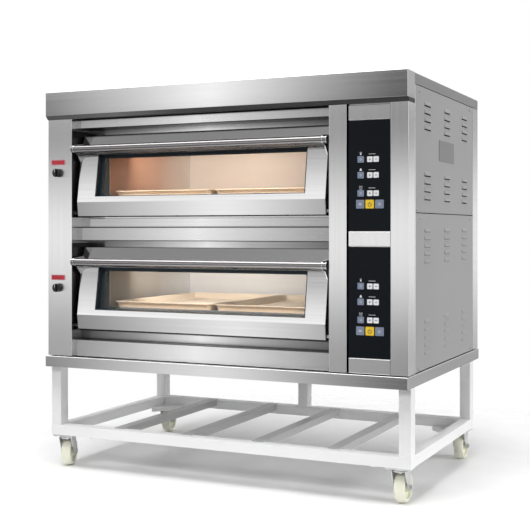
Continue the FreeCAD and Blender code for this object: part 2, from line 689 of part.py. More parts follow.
def folded_bar(points):
    """Bar folded along X from its (Y, Z) outer face, between the columns."""
    bar = prism_x(sheet(points, SHEET), BAY_LEFT, BAY_RIGHT)
    folds = []
    for y, z in points[1:-1]:
        folds += [e for e in bar.Edges if math.hypot(e.CenterOfMass.y - y, e.CenterOfMass.z - z) < 0.01]
    return bar.makeFillet(BEND, folds)


def cross_bars():
    """Header over the upper door, bar between the decks, bar under the lower door."""
    header = folded_bar([(44, 1248), (44, HEADER_BOTTOM), (MOUTH_Y, HEADER_BOTTOM)])
    middle = folded_bar([(MOUTH_Y, 866), (48, 866), (48, 818), (MOUTH_Y, 818)])
    bottom = folded_bar([(MOUTH_Y, 467), (31, 467), (31, FACE_BOTTOM), (MOUTH_Y, FACE_BOTTOM)])
    return [header, middle, bottom]


def mouth_plate(drop):
    """Plate around one chamber's mouth with the sill folded out below it."""
    foot = SILL_Z - SILL_DROP
    plate = box(BAY_LEFT, BAY_RIGHT, MOUTH_Y, MOUTH_Y + SHEET, foot - SHEET, HEADER_BOTTOM + SHEET)
    mouth = slab_y(*CHAMBER_X, 0, 200, *MOUTH_Z, 6)
    sill = prism_x(sheet([(HOOD_BACK, foot), (HOOD_BACK, SILL_Z), (MOUTH_Y, SILL_Z)], -SHEET),
                   BAY_LEFT, BAY_RIGHT)
    return moved(fuse([plate.cut(mouth), sill]), z=drop)


save("cross_bars", *cross_bars())
save("mouth_plates", *[mouth_plate(drop) for drop in DECKS.values()])


# ---- chambers -----------------------------------------------------------------------
def chamber(drop):
    """Open-fronted lining box with a ledge along each side for the stone."""
    x0, x1 = CHAMBER_X
    t = SHEET
    y0 = MOUTH_Y + t
    outer = box(x0 - t, x1 + t, y0, CHAMBER_BACK + t, CHAMBER_FLOOR - t, CHAMBER_CEILING + t)
    inner = box(x0, x1, y0 - 5, CHAMBER_BACK, CHAMBER_FLOOR, CHAMBER_CEILING)
    width, height = LEDGE
    ledge_z = STONE_TOP - STONE_THICK
    left = box(x0, x0 + width, y0, CHAMBER_BACK, ledge_z - height, ledge_z)
    right = box(x1 - width, x1, y0, CHAMBER_BACK, ledge_z - height, ledge_z)
    return moved(fuse([outer.cut(inner), left, right]), z=drop)


def deck_stone(drop):
    x0, x1 = CHAMBER_X
    stone = box(x0 + 2, x1 - 2, MOUTH_Y + 3, CHAMBER_BACK - 3, STONE_TOP - STONE_THICK, STONE_TOP)
    edges = [e for e in stone.Edges if abs(e.CenterOfMass.z - STONE_TOP) < 0.1]
    return moved(stone.makeChamfer(STONE_EASE, edges), z=drop)


def element(x, z, drop):
    """One hairpin heating element running front to back."""
    y0 = ELEMENT_FRONT
    y1 = CHAMBER_BACK
    r = ELEMENT_BEND
    path = Part.Wire([
        Part.LineSegment(V(x - r, y1, z), V(x - r, y0 + r, z)).toShape(),
        Part.Arc(V(x - r, y0 + r, z), V(x, y0, z), V(x + r, y0 + r, z)).toShape(),
        Part.LineSegment(V(x + r, y0 + r, z), V(x + r, y1, z)).toShape()])
    section = Part.Wire(Part.makeCircle(ELEMENT_R, V(x - r, y1, z), V(0, -1, 0)))
    return moved(path.makePipeShell([section], True, False), z=drop)


def heating_elements():
    """A row of hairpins under each chamber's ceiling and another over its floor."""
    pieces = []
    for drop in DECKS.values():
        for i in range(ELEMENT_COUNT):
            x = CHAMBER_X[0] + ELEMENT_FIRST + ELEMENT_PITCH * i
            pieces.append(element(x, CHAMBER_CEILING - ELEMENT_STANDOFF, drop))
            pieces.append(element(x, CHAMBER_FLOOR + ELEMENT_STANDOFF, drop))
    return pieces


def lamp(drop):
    """Domed glass over the chamber light, on the right wall."""
    x = CHAMBER_X[1]
    radius, thick = LAMP_BASE
    base = rod((x - thick, LAMP_Y, LAMP_Z), (1, 0, 0), radius, thick)
    sphere = Part.makeSphere(LAMP_DOME_R, V(x - 2, LAMP_Y, LAMP_Z))
    dome = sphere.common(box(x - 25, x - 4, LAMP_Y - 40, LAMP_Y + 40, LAMP_Z - 45, LAMP_Z + 45))
    return moved(fuse([base, dome]), z=drop)


def insulation():
    """Wool slabs beside, above, between, below and behind the two chambers."""
    y0 = MOUTH_Y + WOOL_GAP + 1
    y1 = CHAMBER_BACK + WOOL_GAP
    left, right = WOOL_X
    inner_left = CHAMBER_X[0] - WOOL_GAP
    inner_right = CHAMBER_X[1] + WOOL_GAP
    lower_floor = CHAMBER_FLOOR - DECK_PITCH - WOOL_GAP
    lower_ceiling = CHAMBER_CEILING - DECK_PITCH + WOOL_GAP
    bottom = CHAMBER_FLOOR - DECK_PITCH - WOOL_OVER
    top = CHAMBER_CEILING + WOOL_OVER
    pieces = [box(left, inner_left, y0, y1, bottom, top), box(inner_right, right, y0, y1, bottom, top)]
    pieces.append(box(inner_left, inner_right, y0, y1, CHAMBER_CEILING + WOOL_GAP, top))
    pieces.append(box(inner_left, inner_right, y0, y1, lower_ceiling, CHAMBER_FLOOR - WOOL_GAP))
    pieces.append(box(inner_left, inner_right, y0, y1, bottom, lower_floor))
    pieces.append(box(left, right, y1, y1 + WOOL_DEPTH, bottom, top))
    return pieces


save("upper_chamber", chamber(DECKS["upper"]))
save("lower_chamber", chamber(DECKS["lower"]))
save("deck_stones", *[deck_stone(drop) for drop in DECKS.values()])
save("heating_elements", *heating_elements())
save("chamber_lamps", *[lamp(drop) for drop in DECKS.values()])
save("insulation", *insulation())


# ---- baking trays -------------------------------------------------------------------
def tray_ring(x0, y0, z, inset, radius):
    """Rounded rectangle inside the tray's rim outline, at one height."""
    low_x = x0 + inset
    high_x = x0 + TRAY_WIDTH - inset
    low_y = y0 + inset
    high_y = y0 + TRAY_LENGTH - inset
    return outline([(low_x, low_y, z), (high_x, low_y, z), (high_x, high_y, z), (low_x, high_y, z)], radius)


def baking_tray(x0, drop):
    """Pressed tray with sloping walls and a flat rim."""
    y0 = TRAY_FRONT
    z0 = STONE_TOP + TRAY_REST + drop
    z1 = z0 + TRAY_HEIGHT
    foot = tray_ring(x0, y0, z0, TRAY_FOOT, 10)
    lip = tray_ring(x0, y0, z1, TRAY_LIP, 16)
    foot_in = tray_ring(x0, y0, z0 + TRAY_METAL, TRAY_FOOT + TRAY_METAL, 9)
    lip_in = tray_ring(x0, y0, z1 + 0.1, TRAY_LIP + TRAY_METAL, 15)
    rim = Part.Face(tray_ring(x0, y0, z1 - TRAY_RIM, 0, TRAY_CORNER)).extrude(V(0, 0, TRAY_RIM))
    core = Part.makeLoft([foot_in, lip_in], True, True)
    return fuse([Part.makeLoft([foot, lip], True, True), rim]).cut(core)


tray_middle = (CHAMBER_X[0] + CHAMBER_X[1]) / 2.0
for deck, deck_drop in DECKS.items():
    save(deck + "_left_tray", baking_tray(tray_middle - TRAY_GAP / 2 - TRAY_WIDTH, deck_drop))
    save(deck + "_right_tray", baking_tray(tray_middle + TRAY_GAP / 2, deck_drop))


# ---- doors --------------------------------------------------------------------------
def door_face_y(z):
    """Y of the door's front surface at a height on the upper deck."""
    for (y0, z0), (y1, z1) in zip(DOOR_FRONT, DOOR_FRONT[1:]):
        if z <= z1:
            return y0 + (y1 - y0) * (z - z0) / (z1 - z0)
    return DOOR_FRONT[-1][0]


def door_skin():
    """Outer casing: folded front, top, bottom and sides, with the window cut out."""
    t = SHEET
    profile = DOOR_FRONT + [(DOOR_BACK - t, DOOR_FRONT[-1][1]), (DOOR_BACK - t, DOOR_FRONT[0][1])]
    outer = prism_x(profile, DOOR_LEFT, DOOR_RIGHT)
    outer = outer.makeFillet(BEND, [e for e in outer.Edges if e.CenterOfMass.y < DOOR_BACK - t - 0.1])
    inside = [(DOOR_FRONT[0][0] + t, DOOR_FRONT[0][1] + t), (DOOR_FRONT[1][0] + t, DOOR_FRONT[1][1]),
              (DOOR_FRONT[2][0] + t, DOOR_FRONT[2][1]), (DOOR_FRONT[3][0] + t, DOOR_FRONT[3][1] - t),
              (DOOR_BACK + 5, DOOR_FRONT[3][1] - t), (DOOR_BACK + 5, DOOR_FRONT[0][1] + t)]
    shell = outer.cut(prism_x(inside, DOOR_LEFT + t, DOOR_RIGHT - t))
    x0, x1 = WINDOW_X
    z0, z1 = WINDOW_Z
    shell = shell.cut(box(x0, x1, 0, 100, z0, z1))
    pins = [rod((x, PIVOT_Y, PIVOT_Z), (1, 0, 0), BUSH_R, 10) for x in (DOOR_LEFT - 5, DOOR_RIGHT - 5)]
    return cut(shell, pins + drip_notches())


def drip_notches():
    """Small slots along the door's lower front edge, evenly spaced."""
    y, z = DOOR_FRONT[0]
    pitch = (DOOR_RIGHT - DOOR_LEFT) / (NOTCH_COUNT + 1)
    half = NOTCH_WIDTH / 2.0
    centres = [DOOR_LEFT + pitch * (i + 1) for i in range(NOTCH_COUNT)]
    return [box(x - half, x + half, y - 5, y + NOTCH_DEPTH, z - 1, z + NOTCH_HEIGHT) for x in centres]


def window_frame():
    """Slate reveal, the band round the glass at its foot, and the closed tunnel on to the liner."""
    x0, x1 = WINDOW_X
    z0, z1 = WINDOW_Z
    t = SHEET
    face0 = door_face_y(z0)
    face1 = door_face_y(z1)
    back = DOOR_BACK - SHEET - 0.2
    outer = prism_x([(face0 + 0.6, z0), (face1 + 0.6, z1), (back, z1), (back, z0)], x0, x1)
    reveal = prism_x([(face0 - 9, z0 + t), (face1 - 9, z1 - t), (face1 + WINDOW_DEPTH, z1 - t),
                      (face0 + WINDOW_DEPTH, z0 + t)], x0 + t, x1 - t)
    band_back0 = face0 + WINDOW_DEPTH + FRAME_THICK
    band_back1 = face1 + WINDOW_DEPTH + FRAME_THICK
    tunnel = prism_x([(band_back0, z0 + t), (band_back1, z1 - t), (back + 9, z1 - t), (back + 9, z0 + t)],
                     x0 + t, x1 - t)
    hole = slab_y(x0 + FRAME_BAND, x1 - FRAME_BAND, 0, 100, z0 + t, z1 - FRAME_BAND, 3)
    return cut(outer, [reveal, tunnel, hole])


def glass_panes():
    x0, x1 = WINDOW_X
    z0, z1 = WINDOW_Z
    front0 = door_face_y(z0) + WINDOW_DEPTH + FRAME_THICK
    front1 = door_face_y(z1) + WINDOW_DEPTH + FRAME_THICK
    lean = (front1 - front0) / (z1 - z0)
    low = z0 + 3
    high = z1 - 4
    outer = prism_x([(front0 + lean * 3 + 0.3, low), (front1 - lean * 4 + 0.3, high),
                     (front1 - lean * 4 + 4.3, high), (front0 + lean * 3 + 4.3, low)], x0 + 4, x1 - 4)
    inner = box(x0 + 4, x1 - 4, DOOR_BACK - 7.5, DOOR_BACK - 3.5, low, high)
    return [outer, inner]


def door_liner():
    """Back plate with its window, and the two cheeks that carry the hinge bushes."""
    t = SHEET
    x0 = DOOR_LEFT + 2.0
    x1 = DOOR_RIGHT - 2.0
    plate = slab_y(DOOR_LEFT, DOOR_RIGHT, DOOR_BACK - t, DOOR_BACK, DOOR_FRONT[0][1], DOOR_FRONT[-1][1], 2)
    window = slab_y(WINDOW_X[0] + 8, WINDOW_X[1] - 8, 0, 200, WINDOW_Z[0] + 6, WINDOW_Z[1] - 8, 6)
    cheek_points = [(34.5, 904.5), (27.5, 955), (54.5, 1135), (76, 1192), (DOOR_BACK - 1, 1192),
                    (DOOR_BACK - 1, 904.5)]
    cheek = prism_x(cheek_points, x0, x0 + 3)
    bush = rod((x0, PIVOT_Y, PIVOT_Z), (1, 0, 0), BUSH_R, 16)
    left = fuse([cheek, bush])
    middle = (DOOR_LEFT + DOOR_RIGHT) / 2.0
    right = left.mirror(V(middle, 0, 0), V(1, 0, 0))
    bores = [rod((x, PIVOT_Y, PIVOT_Z), (1, 0, 0), PIN_R + RUNNING_GAP, 40) for x in (x0 - 10, x1 - 30)]
    return cut(fuse([plate.cut(window), left, right]), bores)


def handle_tube():
    x0, x1 = HANDLE_X
    return ring((x0, HANDLE_Y, HANDLE_Z), (1, 0, 0), HANDLE_R, HANDLE_R - 1.5, x1 - x0)


def handle_brackets():
    """Ear plate at each side of the door that holds the tube, and a domed cap in each tube end."""
    nose = HANDLE_R + 2.5
    fold = DOOR_FRONT[2]
    ear = prism_x([(door_face_y(1098), 1098), fold, (door_face_y(1163), 1163), (HANDLE_Y, HANDLE_Z + nose),
                   (HANDLE_Y, HANDLE_Z - nose), (HANDLE_Y + 12, 1124)], DOOR_LEFT, DOOR_LEFT + 3)
    ear = fuse([ear, rod((DOOR_LEFT, HANDLE_Y, HANDLE_Z), (1, 0, 0), nose, 3)])
    ear = ear.cut(rod((DOOR_LEFT - 5, HANDLE_Y, HANDLE_Z), (1, 0, 0), HANDLE_R, 20))
    plug = rod((HANDLE_X[0], HANDLE_Y, HANDLE_Z), (1, 0, 0), HANDLE_R - 1.5, 14)
    cap = rod((HANDLE_X[0] - 2.0, HANDLE_Y, HANDLE_Z), (1, 0, 0), HANDLE_R, 2.0)
    cap = cap.makeFillet(1.4, [e for e in cap.Edges if abs(e.CenterOfMass.x - HANDLE_X[0] + 2) < 0.1
                               and abs(e.Length - 2 * math.pi * HANDLE_R) < 0.1])
    socket = hexagon((HANDLE_X[0] - 3, HANDLE_Y, HANDLE_Z), 3.0, 5)
    cap = fuse([plug, cap]).cut(socket)
    middle = (DOOR_LEFT + DOOR_RIGHT) / 2.0
    return [ear, cap, ear.mirror(V(middle, 0, 0), V(1, 0, 0)), cap.mirror(V(middle, 0, 0), V(1, 0, 0))]


def gasket(drop):
    """Silicone seal round the opening, on the mouth plate."""
    y0 = DOOR_BACK + 0.3
    outer = slab_y(CHAMBER_X[0] - 16, CHAMBER_X[1] + 16, y0, MOUTH_Y, MOUTH_Z[0] - 14, MOUTH_Z[1] + 14, 14)
    inner = slab_y(CHAMBER_X[0] - 5, CHAMBER_X[1] + 5, y0 - 5, MOUTH_Y + 5, MOUTH_Z[0] - 3, MOUTH_Z[1] + 3, 4)
    return moved(outer.cut(inner), z=drop)


def hinge_pin(drop):
    left = rod((90, PIVOT_Y, PIVOT_Z + drop), (1, 0, 0), PIN_R, DOOR_LEFT + 20 - 90)
    right = rod((DOOR_RIGHT - 20, PIVOT_Y, PIVOT_Z + drop), (1, 0, 0), PIN_R, 1100 - DOOR_RIGHT + 20)
    return [left, right]


def hinge_bracket(drop):
    """Steel block inside each column that the hinge pin is pressed into."""
    z = PIVOT_Z + drop
    left = box(88, BAY_LEFT - SHEET, PIVOT_Y - 20, PIVOT_Y + 20, z - 30, z + 30)
    left = left.cut(rod((80, PIVOT_Y, z), (1, 0, 0), PIN_R, 40))
    right = box(BAY_RIGHT + SHEET, 1102, PIVOT_Y - 20, PIVOT_Y + 20, z - 30, z + 30)
    right = right.cut(rod((1080, PIVOT_Y, z), (1, 0, 0), PIN_R, 40))
    return [left, right]


for deck, deck_drop in DECKS.items():
    save(deck + "_door_skin", moved(door_skin(), z=deck_drop))
    save(deck + "_door_liner", moved(door_liner(), z=deck_drop))
    save(deck + "_window_frame", moved(window_frame(), z=deck_drop))
    save(deck + "_glass_panes", *[moved(p, z=deck_drop) for p in glass_panes()])
    save(deck + "_handle_tube", moved(handle_tube(), z=deck_drop))
    save(deck + "_handle_brackets", *[moved(p, z=deck_drop) for p in handle_brackets()])
save("door_gaskets", *[gasket(drop) for drop in DECKS.values()])
save("hinge_pins", *(hinge_pin(DECKS["upper"]) + hinge_pin(DECKS["lower"])))
save("hinge_brackets", *(hinge_bracket(DECKS["upper"]) + hinge_bracket(DECKS["lower"])))


# ---- controls -----------------------------------------------------------------------
def control_panel(deck):
    low, high = PANEL_Z[deck]
    panel = slab_y(CONTROL_LEFT + 1, CONTROL_RIGHT - 1, FACE_Y + 3, FACE_Y + 9.5, low, high, 3)
    edges = [e for e in panel.Edges if abs(e.CenterOfMass.y - FACE_Y - 3) < 0.1]
    return panel.makeChamfer(0.6, edges)


# flat keys of one panel: left, right, bottom and top, upper deck
GREY_KEYS = [(1181.6, 1203.0, z, z + 20.5) for z in (1066.0, 1016.8, 960.3)]
WHITE_KEYS = [(x, x + 17.8, z + 1.2, z + 18.8) for x in (1213.4, 1233.9) for z in (1066.0, 1016.8, 960.3)]
FOOT_KEYS = [(1177.0, 1204.5, 923.0, 950.0), (1208.0, 1236.0, 923.0, 950.0), (1239.5, 1268.0, 923.0, 950.0)]
KEY_PITCH = 395.0


def keys(layout):
    pieces = []
    for drop in (0.0, KEY_PITCH):
        for x0, x1, z0, z1 in layout:
            pieces.append(slab_y(x0, x1, FACE_Y + 2, FACE_Y + 3, z0 - drop, z1 - drop, 2.2))
    return pieces


BADGE_X = (17.0, 75.0)
BADGE_Z = (1088.0, 677.0)
BADGE_HEIGHT = 19.0
BADGE_THICK = 1.5


def badge(z):
    return slab_y(*BADGE_X, FACE_Y - BADGE_THICK, FACE_Y, z, z + BADGE_HEIGHT, 2)


def selector_switch(z):
    """Collar, threaded neck and switch body of one rotary selector."""
    width, rear = SELECTOR_BODY
    half = width / 2.0
    collar = rod((KNOB_X, FACE_Y - COLLAR[1], z), (0, 1, 0), *COLLAR)
    neck = rod((KNOB_X, FACE_Y, z), (0, 1, 0), NECK_R, SHEET)
    body = box(KNOB_X - half, KNOB_X + half, FACE_Y + SHEET, rear, z - half, z + half)
    return fuse([collar, neck, body]).cut(rod((KNOB_X, 0, z), (0, 1, 0), SHAFT_R + RUNNING_GAP, 42))


def knob(z):
    """Round cap with a grip bar across its face, on its shaft."""
    face = KNOB_FRONT + KNOB_FACE
    cap = rod((KNOB_X, face, z), (0, 1, 0), KNOB_R, KNOB_LENGTH)
    cap = cap.makeFillet(2.0, [e for e in cap.Edges if abs(e.CenterOfMass.y - face) < 0.1])
    width, height, depth = GRIP
    grip = slab_y(KNOB_X - width / 2, KNOB_X + width / 2, KNOB_FRONT, KNOB_FRONT + depth,
                  z - height / 2, z + height / 2, 2.5)
    shaft = rod((KNOB_X, face + 4, z), (0, 1, 0), SHAFT_R, SHAFT_LENGTH)
    return fuse([cap, grip, shaft])


save("control_panels", *[control_panel(deck) for deck in DECKS])
save("control_keys", *keys(GREY_KEYS + WHITE_KEYS + FOOT_KEYS))
save("blank_badges", *[badge(z) for z in BADGE_Z])
save("selector_switches", selector_switch(KNOB_Z), selector_switch(KNOB_Z - KNOB_PITCH))
save("upper_knob", knob(KNOB_Z))
save("lower_knob", knob(KNOB_Z - KNOB_PITCH))


# ---- electrics ----------------------------------------------------------------------
def electrical_parts():
    """Control boards behind the panels, contactors and terminals on the bay's back plate."""
    pieces = []
    for low, high in PANEL_Z.values():
        pieces.append(box(1165, 1280, 40, 42, low + 60, high - 30))
        pieces.append(box(1180, 1210, 42, 60, low + 90, low + 120))
        pieces.append(box(1225, 1265, 42, 68, low + 90, low + 140))
    pieces.append(box(1160, 1163, 300, 700, 520, 1100))
    for i in range(4):
        pieces.append(box(1163, 1233, 340 + 80 * i, 385 + 80 * i, 900, 985))
        pieces.append(box(1163, 1215, 340 + 80 * i, 390 + 80 * i, 650, 720))
    pieces.append(box(1163, 1200, 620, 690, 540, 600))
    return pieces


save("electrical_parts", *electrical_parts())
print("files", len(os.listdir("parts")))
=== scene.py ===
import json
import math

import bmesh
import bpy
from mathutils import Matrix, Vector


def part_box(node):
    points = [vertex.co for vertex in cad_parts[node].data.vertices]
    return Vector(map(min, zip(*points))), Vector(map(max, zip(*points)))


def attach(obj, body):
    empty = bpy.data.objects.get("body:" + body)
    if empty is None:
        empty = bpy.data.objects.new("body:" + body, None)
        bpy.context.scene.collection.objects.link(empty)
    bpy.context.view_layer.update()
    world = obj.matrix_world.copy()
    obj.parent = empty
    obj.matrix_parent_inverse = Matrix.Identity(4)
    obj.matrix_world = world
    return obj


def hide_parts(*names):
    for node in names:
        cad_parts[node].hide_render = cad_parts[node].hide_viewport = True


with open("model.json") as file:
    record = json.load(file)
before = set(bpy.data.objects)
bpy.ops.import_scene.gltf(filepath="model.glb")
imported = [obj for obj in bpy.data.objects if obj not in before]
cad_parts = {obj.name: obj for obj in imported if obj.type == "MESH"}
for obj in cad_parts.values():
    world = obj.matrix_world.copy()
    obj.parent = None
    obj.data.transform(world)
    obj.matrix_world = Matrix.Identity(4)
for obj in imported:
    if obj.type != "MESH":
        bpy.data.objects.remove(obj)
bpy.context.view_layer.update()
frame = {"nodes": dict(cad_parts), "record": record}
NODES = frame["nodes"]
MM = 0.001


# ---- shader helpers -----------------------------------------------------------------
def shade(tone, factor):
    return tuple(min(1.0, channel * factor) for channel in tone)


# Places of the colour sockets in a Mix node.
MIX_FACTOR, MIX_FIRST, MIX_SECOND = 0, 6, 7
MIX_RESULT = 2


class Shader:
    """One material's node tree, with short names for the nodes used here."""

    def __init__(self, name, **values):
        self.material = bpy.data.materials.new(name)
        self.material.use_nodes = True
        self.tree = self.material.node_tree
        self.bsdf = self.tree.nodes["Principled BSDF"]
        for socket, value in values.items():
            self.bsdf.inputs[socket.replace("_", " ")].default_value = value
        self.coords = self.node("TexCoord").outputs["Object"]

    def node(self, kind, **settings):
        made = self.tree.nodes.new("ShaderNode" + kind)
        for key, value in settings.items():
            setattr(made, key, value)
        return made

    def link(self, source, target):
        self.tree.links.new(source, target)

    def stretched(self, scale):
        """Object coordinates scaled unevenly, for grain that runs one way."""
        mapping = self.node("Mapping")
        mapping.inputs["Scale"].default_value = scale
        self.link(self.coords, mapping.inputs["Vector"])
        return mapping.outputs["Vector"]

    def noise(self, vector, scale=1.0, detail=2.0, rough=0.5):
        texture = self.node("TexNoise")
        texture.inputs["Scale"].default_value = scale
        texture.inputs["Detail"].default_value = detail
        texture.inputs["Roughness"].default_value = rough
        self.link(vector, texture.inputs["Vector"])
        return texture.outputs["Fac"]

    def ramp(self, value, stops):
        """Colour ramp from (position, colour) stops; a colour may be one grey number."""
        made = self.node("ValToRGB")
        set_stops(made.color_ramp, stops)
        self.link(value, made.inputs["Fac"])
        return made.outputs["Color"]

    def mix(self, factor, first, second, mode="MIX"):
        made = self.node("Mix", data_type="RGBA", blend_type=mode)
        for place, value in ((MIX_FACTOR, factor), (MIX_FIRST, first), (MIX_SECOND, second)):
            socket = made.inputs[place]
            if isinstance(value, (int, float)):
                socket.default_value = value
            elif isinstance(value, tuple):
                socket.default_value = (*value, 1)
            else:
                self.link(value, socket)
        return made.outputs[MIX_RESULT]

    def math(self, operation, first, second=0.0):
        return math_node(self.tree, operation, first, second)

    def axes(self):
        """X, Y and Z of the point, in metres."""
        split = self.node("SeparateXYZ")
        self.link(self.coords, split.inputs[0])
        return split.outputs

    def share(self, axis, low, high):
        """How far the point lies from one place to another along an axis (0, 1 or 2), as 0 to 1."""
        return self.math("DIVIDE", self.math("SUBTRACT", self.axes()[axis], low), high - low)

    def inside(self, low, high):
        """1 where the point lies in the box between two corners; None leaves that side open."""
        result = None
        for axis, bottom, top in zip(self.axes(), low, high):
            for operation, limit in (("GREATER_THAN", bottom), ("LESS_THAN", top)):
                if limit is not None:
                    test = self.math(operation, axis, limit)
                    result = test if result is None else self.math("MULTIPLY", result, test)
        return result

    def bump(self, height, strength, distance=0.001):
        made = self.node("Bump")
        made.inputs["Strength"].default_value = strength
        made.inputs["Distance"].default_value = distance
        self.link(height, made.inputs["Height"])
        self.link(made.outputs["Normal"], self.bsdf.inputs["Normal"])

    def spread_along(self, direction):
        """Highlights spread along this direction of the piece, which is across the brushing."""
        constant = self.node("CombineXYZ")
        for socket, value in zip(constant.inputs, direction):
            socket.default_value = value
        turn = self.node("VectorTransform", vector_type="VECTOR", convert_from="OBJECT", convert_to="WORLD")
        self.link(constant.outputs[0], turn.inputs[0])
        self.link(turn.outputs[0], self.bsdf.inputs["Tangent"])

    def colour(self, source):
        self.link(source, self.bsdf.inputs["Base Color"])

    def roughness(self, source):
        self.link(source, self.bsdf.inputs["Roughness"])


def set_stops(color_ramp, stops):
    while len(color_ramp.elements) < len(stops):
        color_ramp.elements.new(0.5)
    for element, (position, colour) in zip(color_ramp.elements, stops):
        grey = isinstance(colour, (int, float))
        element.position = position
        element.color = (colour, colour, colour, 1) if grey else (*colour, 1)


def math_node(tree, operation, first, second=0.0):
    made = tree.nodes.new("ShaderNodeMath")
    made.operation = operation
    for socket, value in zip(made.inputs, (first, second)):
        if isinstance(value, (int, float)):
            socket.default_value = value
        else:
            tree.links.new(value, socket)
    return made.outputs[0]


# ---- materials ----------------------------------------------------------------------
SIDEWAYS = ((4.0, 4.0, 1100.0), (0.0, 0.3, 1.0))   # streak scale per metre, direction across
UPRIGHT = ((1100.0, 1100.0, 4.0), (1.0, 0.3, 0.0))

# Painted shade along the door bay, darker towards the ends, as (share of its width, tone) stops.
SHADED_ENDS = [(0.0, 0.10), (0.25, 0.45), (0.5, 1.0), (0.66, 0.60), (1.0, 0.22)]
SOFT_SHADED_ENDS = [(0.0, 0.56), (0.25, 0.76), (0.5, 1.0), (0.66, 0.82), (1.0, 0.52)]
# Painted shade on the hood's chamfer, along the door bay.
SHADED_CHAMFER = [(0.0, 0.14), (0.2, 0.18), (0.45, 0.07), (0.6, 0.055), (1.0, 0.05)]
JOINT_SHADE = 0.12              # painted shade in the joints between sheets and on walls in the gaps
# Painted shade along the foot of each door.
DOOR_FOOT_SHADE = 0.05
# Painted shade in the joint beside the control panels and in the joint beside the outer column.
CONTROL_JOINT_SHADE = 0.02
STRIP_JOINT_SHADE = 0.30


def level_patch(bottom, top, tones):
    """Patch over the whole width between two heights."""
    return (None, None, bottom), (None, None, top), tones


def brushed(name, tone, rough, grain, spread=0.9, patches=()):
    """Brushed stainless sheet: fine streaks one way, with faint clouding and handling marks.

    Each patch is (low corner, high corner, tones): the sheet between those corners is toned down, by one
    number or by stops along the door bay. Patches are painted shade, put on by position, and don't follow the
    light:
    shade in the joints between sheets and on walls in the gaps, shade in recesses, and shade towards the ends
    of the door bay.
    """
    shader = Shader(name, Metallic=1.0, Anisotropic=spread)
    scale, across = grain
    streaks = shader.noise(shader.stretched(scale), 1.0, 3.0, 0.6)
    marks = shader.noise(shader.stretched(tuple(s * 0.1 for s in scale)))
    clouds = shader.noise(shader.coords, 3.0, 3.0)
    base = shader.mix(streaks, shade(tone, 0.94), shade(tone, 1.05))
    for low, high, tones in patches:
        if isinstance(tones, list):
            bay_low, bay_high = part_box("cross_bars")
            tones = shader.ramp(shader.share(0, bay_low.x, bay_high.x), tones)
        else:
            tones = (tones, tones, tones)
        base = shader.mix(shader.inside(low, high), base, shader.mix(1.0, base, tones, "MULTIPLY"))
    shader.colour(shader.mix(0.15, base, shader.ramp(clouds, [(0.3, 0.75), (0.7, 1.0)]), "MULTIPLY"))
    shader.roughness(shader.ramp(marks, [(0.25, rough - 0.02), (0.75, rough + 0.03)]))
    shader.bump(streaks, 0.06, 0.0002)
    shader.spread_along(across)
    return shader.material


def polished(name, tone, rough):
    shader = Shader(name, Metallic=1.0)
    fine = shader.noise(shader.stretched((60.0, 500.0, 500.0)))
    shader.colour(shader.mix(fine, shade(tone, 0.95), tone))
    shader.roughness(shader.ramp(fine, [(0.3, rough - 0.02), (0.7, rough + 0.03)]))
    return shader.material


def coated(name, tone, rough, speckle=900.0, metal=0.0, strength=0.05, shine=0.5):
    """Painted or moulded surface with a fine orange-peel texture."""
    shader = Shader(name, Metallic=metal, Specular_IOR_Level=shine)
    peel = shader.noise(shader.coords, speckle)
    clouds = shader.noise(shader.coords, 4.0, 3.0)
    shader.colour(shader.mix(clouds, shade(tone, 0.95), shade(tone, 1.04)))
    shader.roughness(shader.ramp(peel, [(0.3, rough - 0.05), (0.7, rough + 0.05)]))
    shader.bump(peel, strength, 0.0005)
    return shader.material


def side_sheet(name, plate=None):
    """Grey panel sheet, darker between the two corners of a raised plate."""
    shader = Shader(name, Roughness=0.5)
    peel = shader.noise(shader.coords, 700.0)
    clouds = shader.noise(shader.coords, 4.0, 3.0)
    base = shader.mix(clouds, shade(SHEET_TONE, 0.95), shade(SHEET_TONE, 1.04))
    if plate:
        dark = shader.inside(*plate)
        base = shader.mix(dark, base, shader.mix(peel, (0.17, 0.17, 0.17), (0.23, 0.23, 0.23)))
    shader.colour(base)
    shader.bump(peel, 0.05, 0.0005)
    return shader.material


def clear_glass():
    shader = Shader("door_glass", IOR=1.45, Alpha=0.07, Base_Color=(0.25, 0.30, 0.28, 1))
    smear = shader.noise(shader.coords, 9.0, 3.0)
    shader.roughness(shader.ramp(smear, [(0.4, 0.01), (0.8, 0.06)]))
    return shader.material


def sole_stone():
    shader = Shader("sole_stone", Roughness=0.85)
    grit = shader.noise(shader.coords, 260.0, 4.0, 0.7)
    clouds = shader.noise(shader.coords, 7.0, 4.0)
    base = shader.ramp(clouds, [(0.3, (0.40, 0.29, 0.19)), (0.7, (0.62, 0.49, 0.36))])
    shader.colour(shader.mix(0.35, base, shader.ramp(grit, [(0.35, 0.5), (0.65, 1.0)]), "MULTIPLY"))
    shader.bump(grit, 0.3, 0.0008)
    return shader.material


def heat_tinted(name, straw, brown=None):
    """Sheet tinted by heat: straw, going to brown towards the mouth of the chamber."""
    shader = Shader(name, Metallic=0.2)
    clouds = shader.noise(shader.coords, 4.0, 4.0)
    fine = shader.noise(shader.stretched((5.0, 300.0, 300.0)))
    base = shader.mix(clouds, shade(straw, 0.9), shade(straw, 1.05))
    if brown:
        low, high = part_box("upper_chamber")     # both chambers lie at the same depth
        inward = shader.share(1, low.y, high.y)
        base = shader.mix(shader.ramp(inward, [(0.0, 0.0), (0.6, 0.25), (1.0, 1.0)]), brown, base)
    shader.colour(shader.mix(0.2, base, shader.ramp(fine, [(0.3, 0.8), (0.7, 1.0)]), "MULTIPLY"))
    shader.roughness(shader.ramp(clouds, [(0.3, 0.45), (0.7, 0.60)]))
    shader.bump(fine, 0.08, 0.0004)
    return shader.material


POINTER_HALF_WIDTH = 0.9 * MM
POINTER_START = 2 * MM      # above the middle of the knob
POINTER_DEPTH = 0.5 * MM    # only the front of the grip is painted


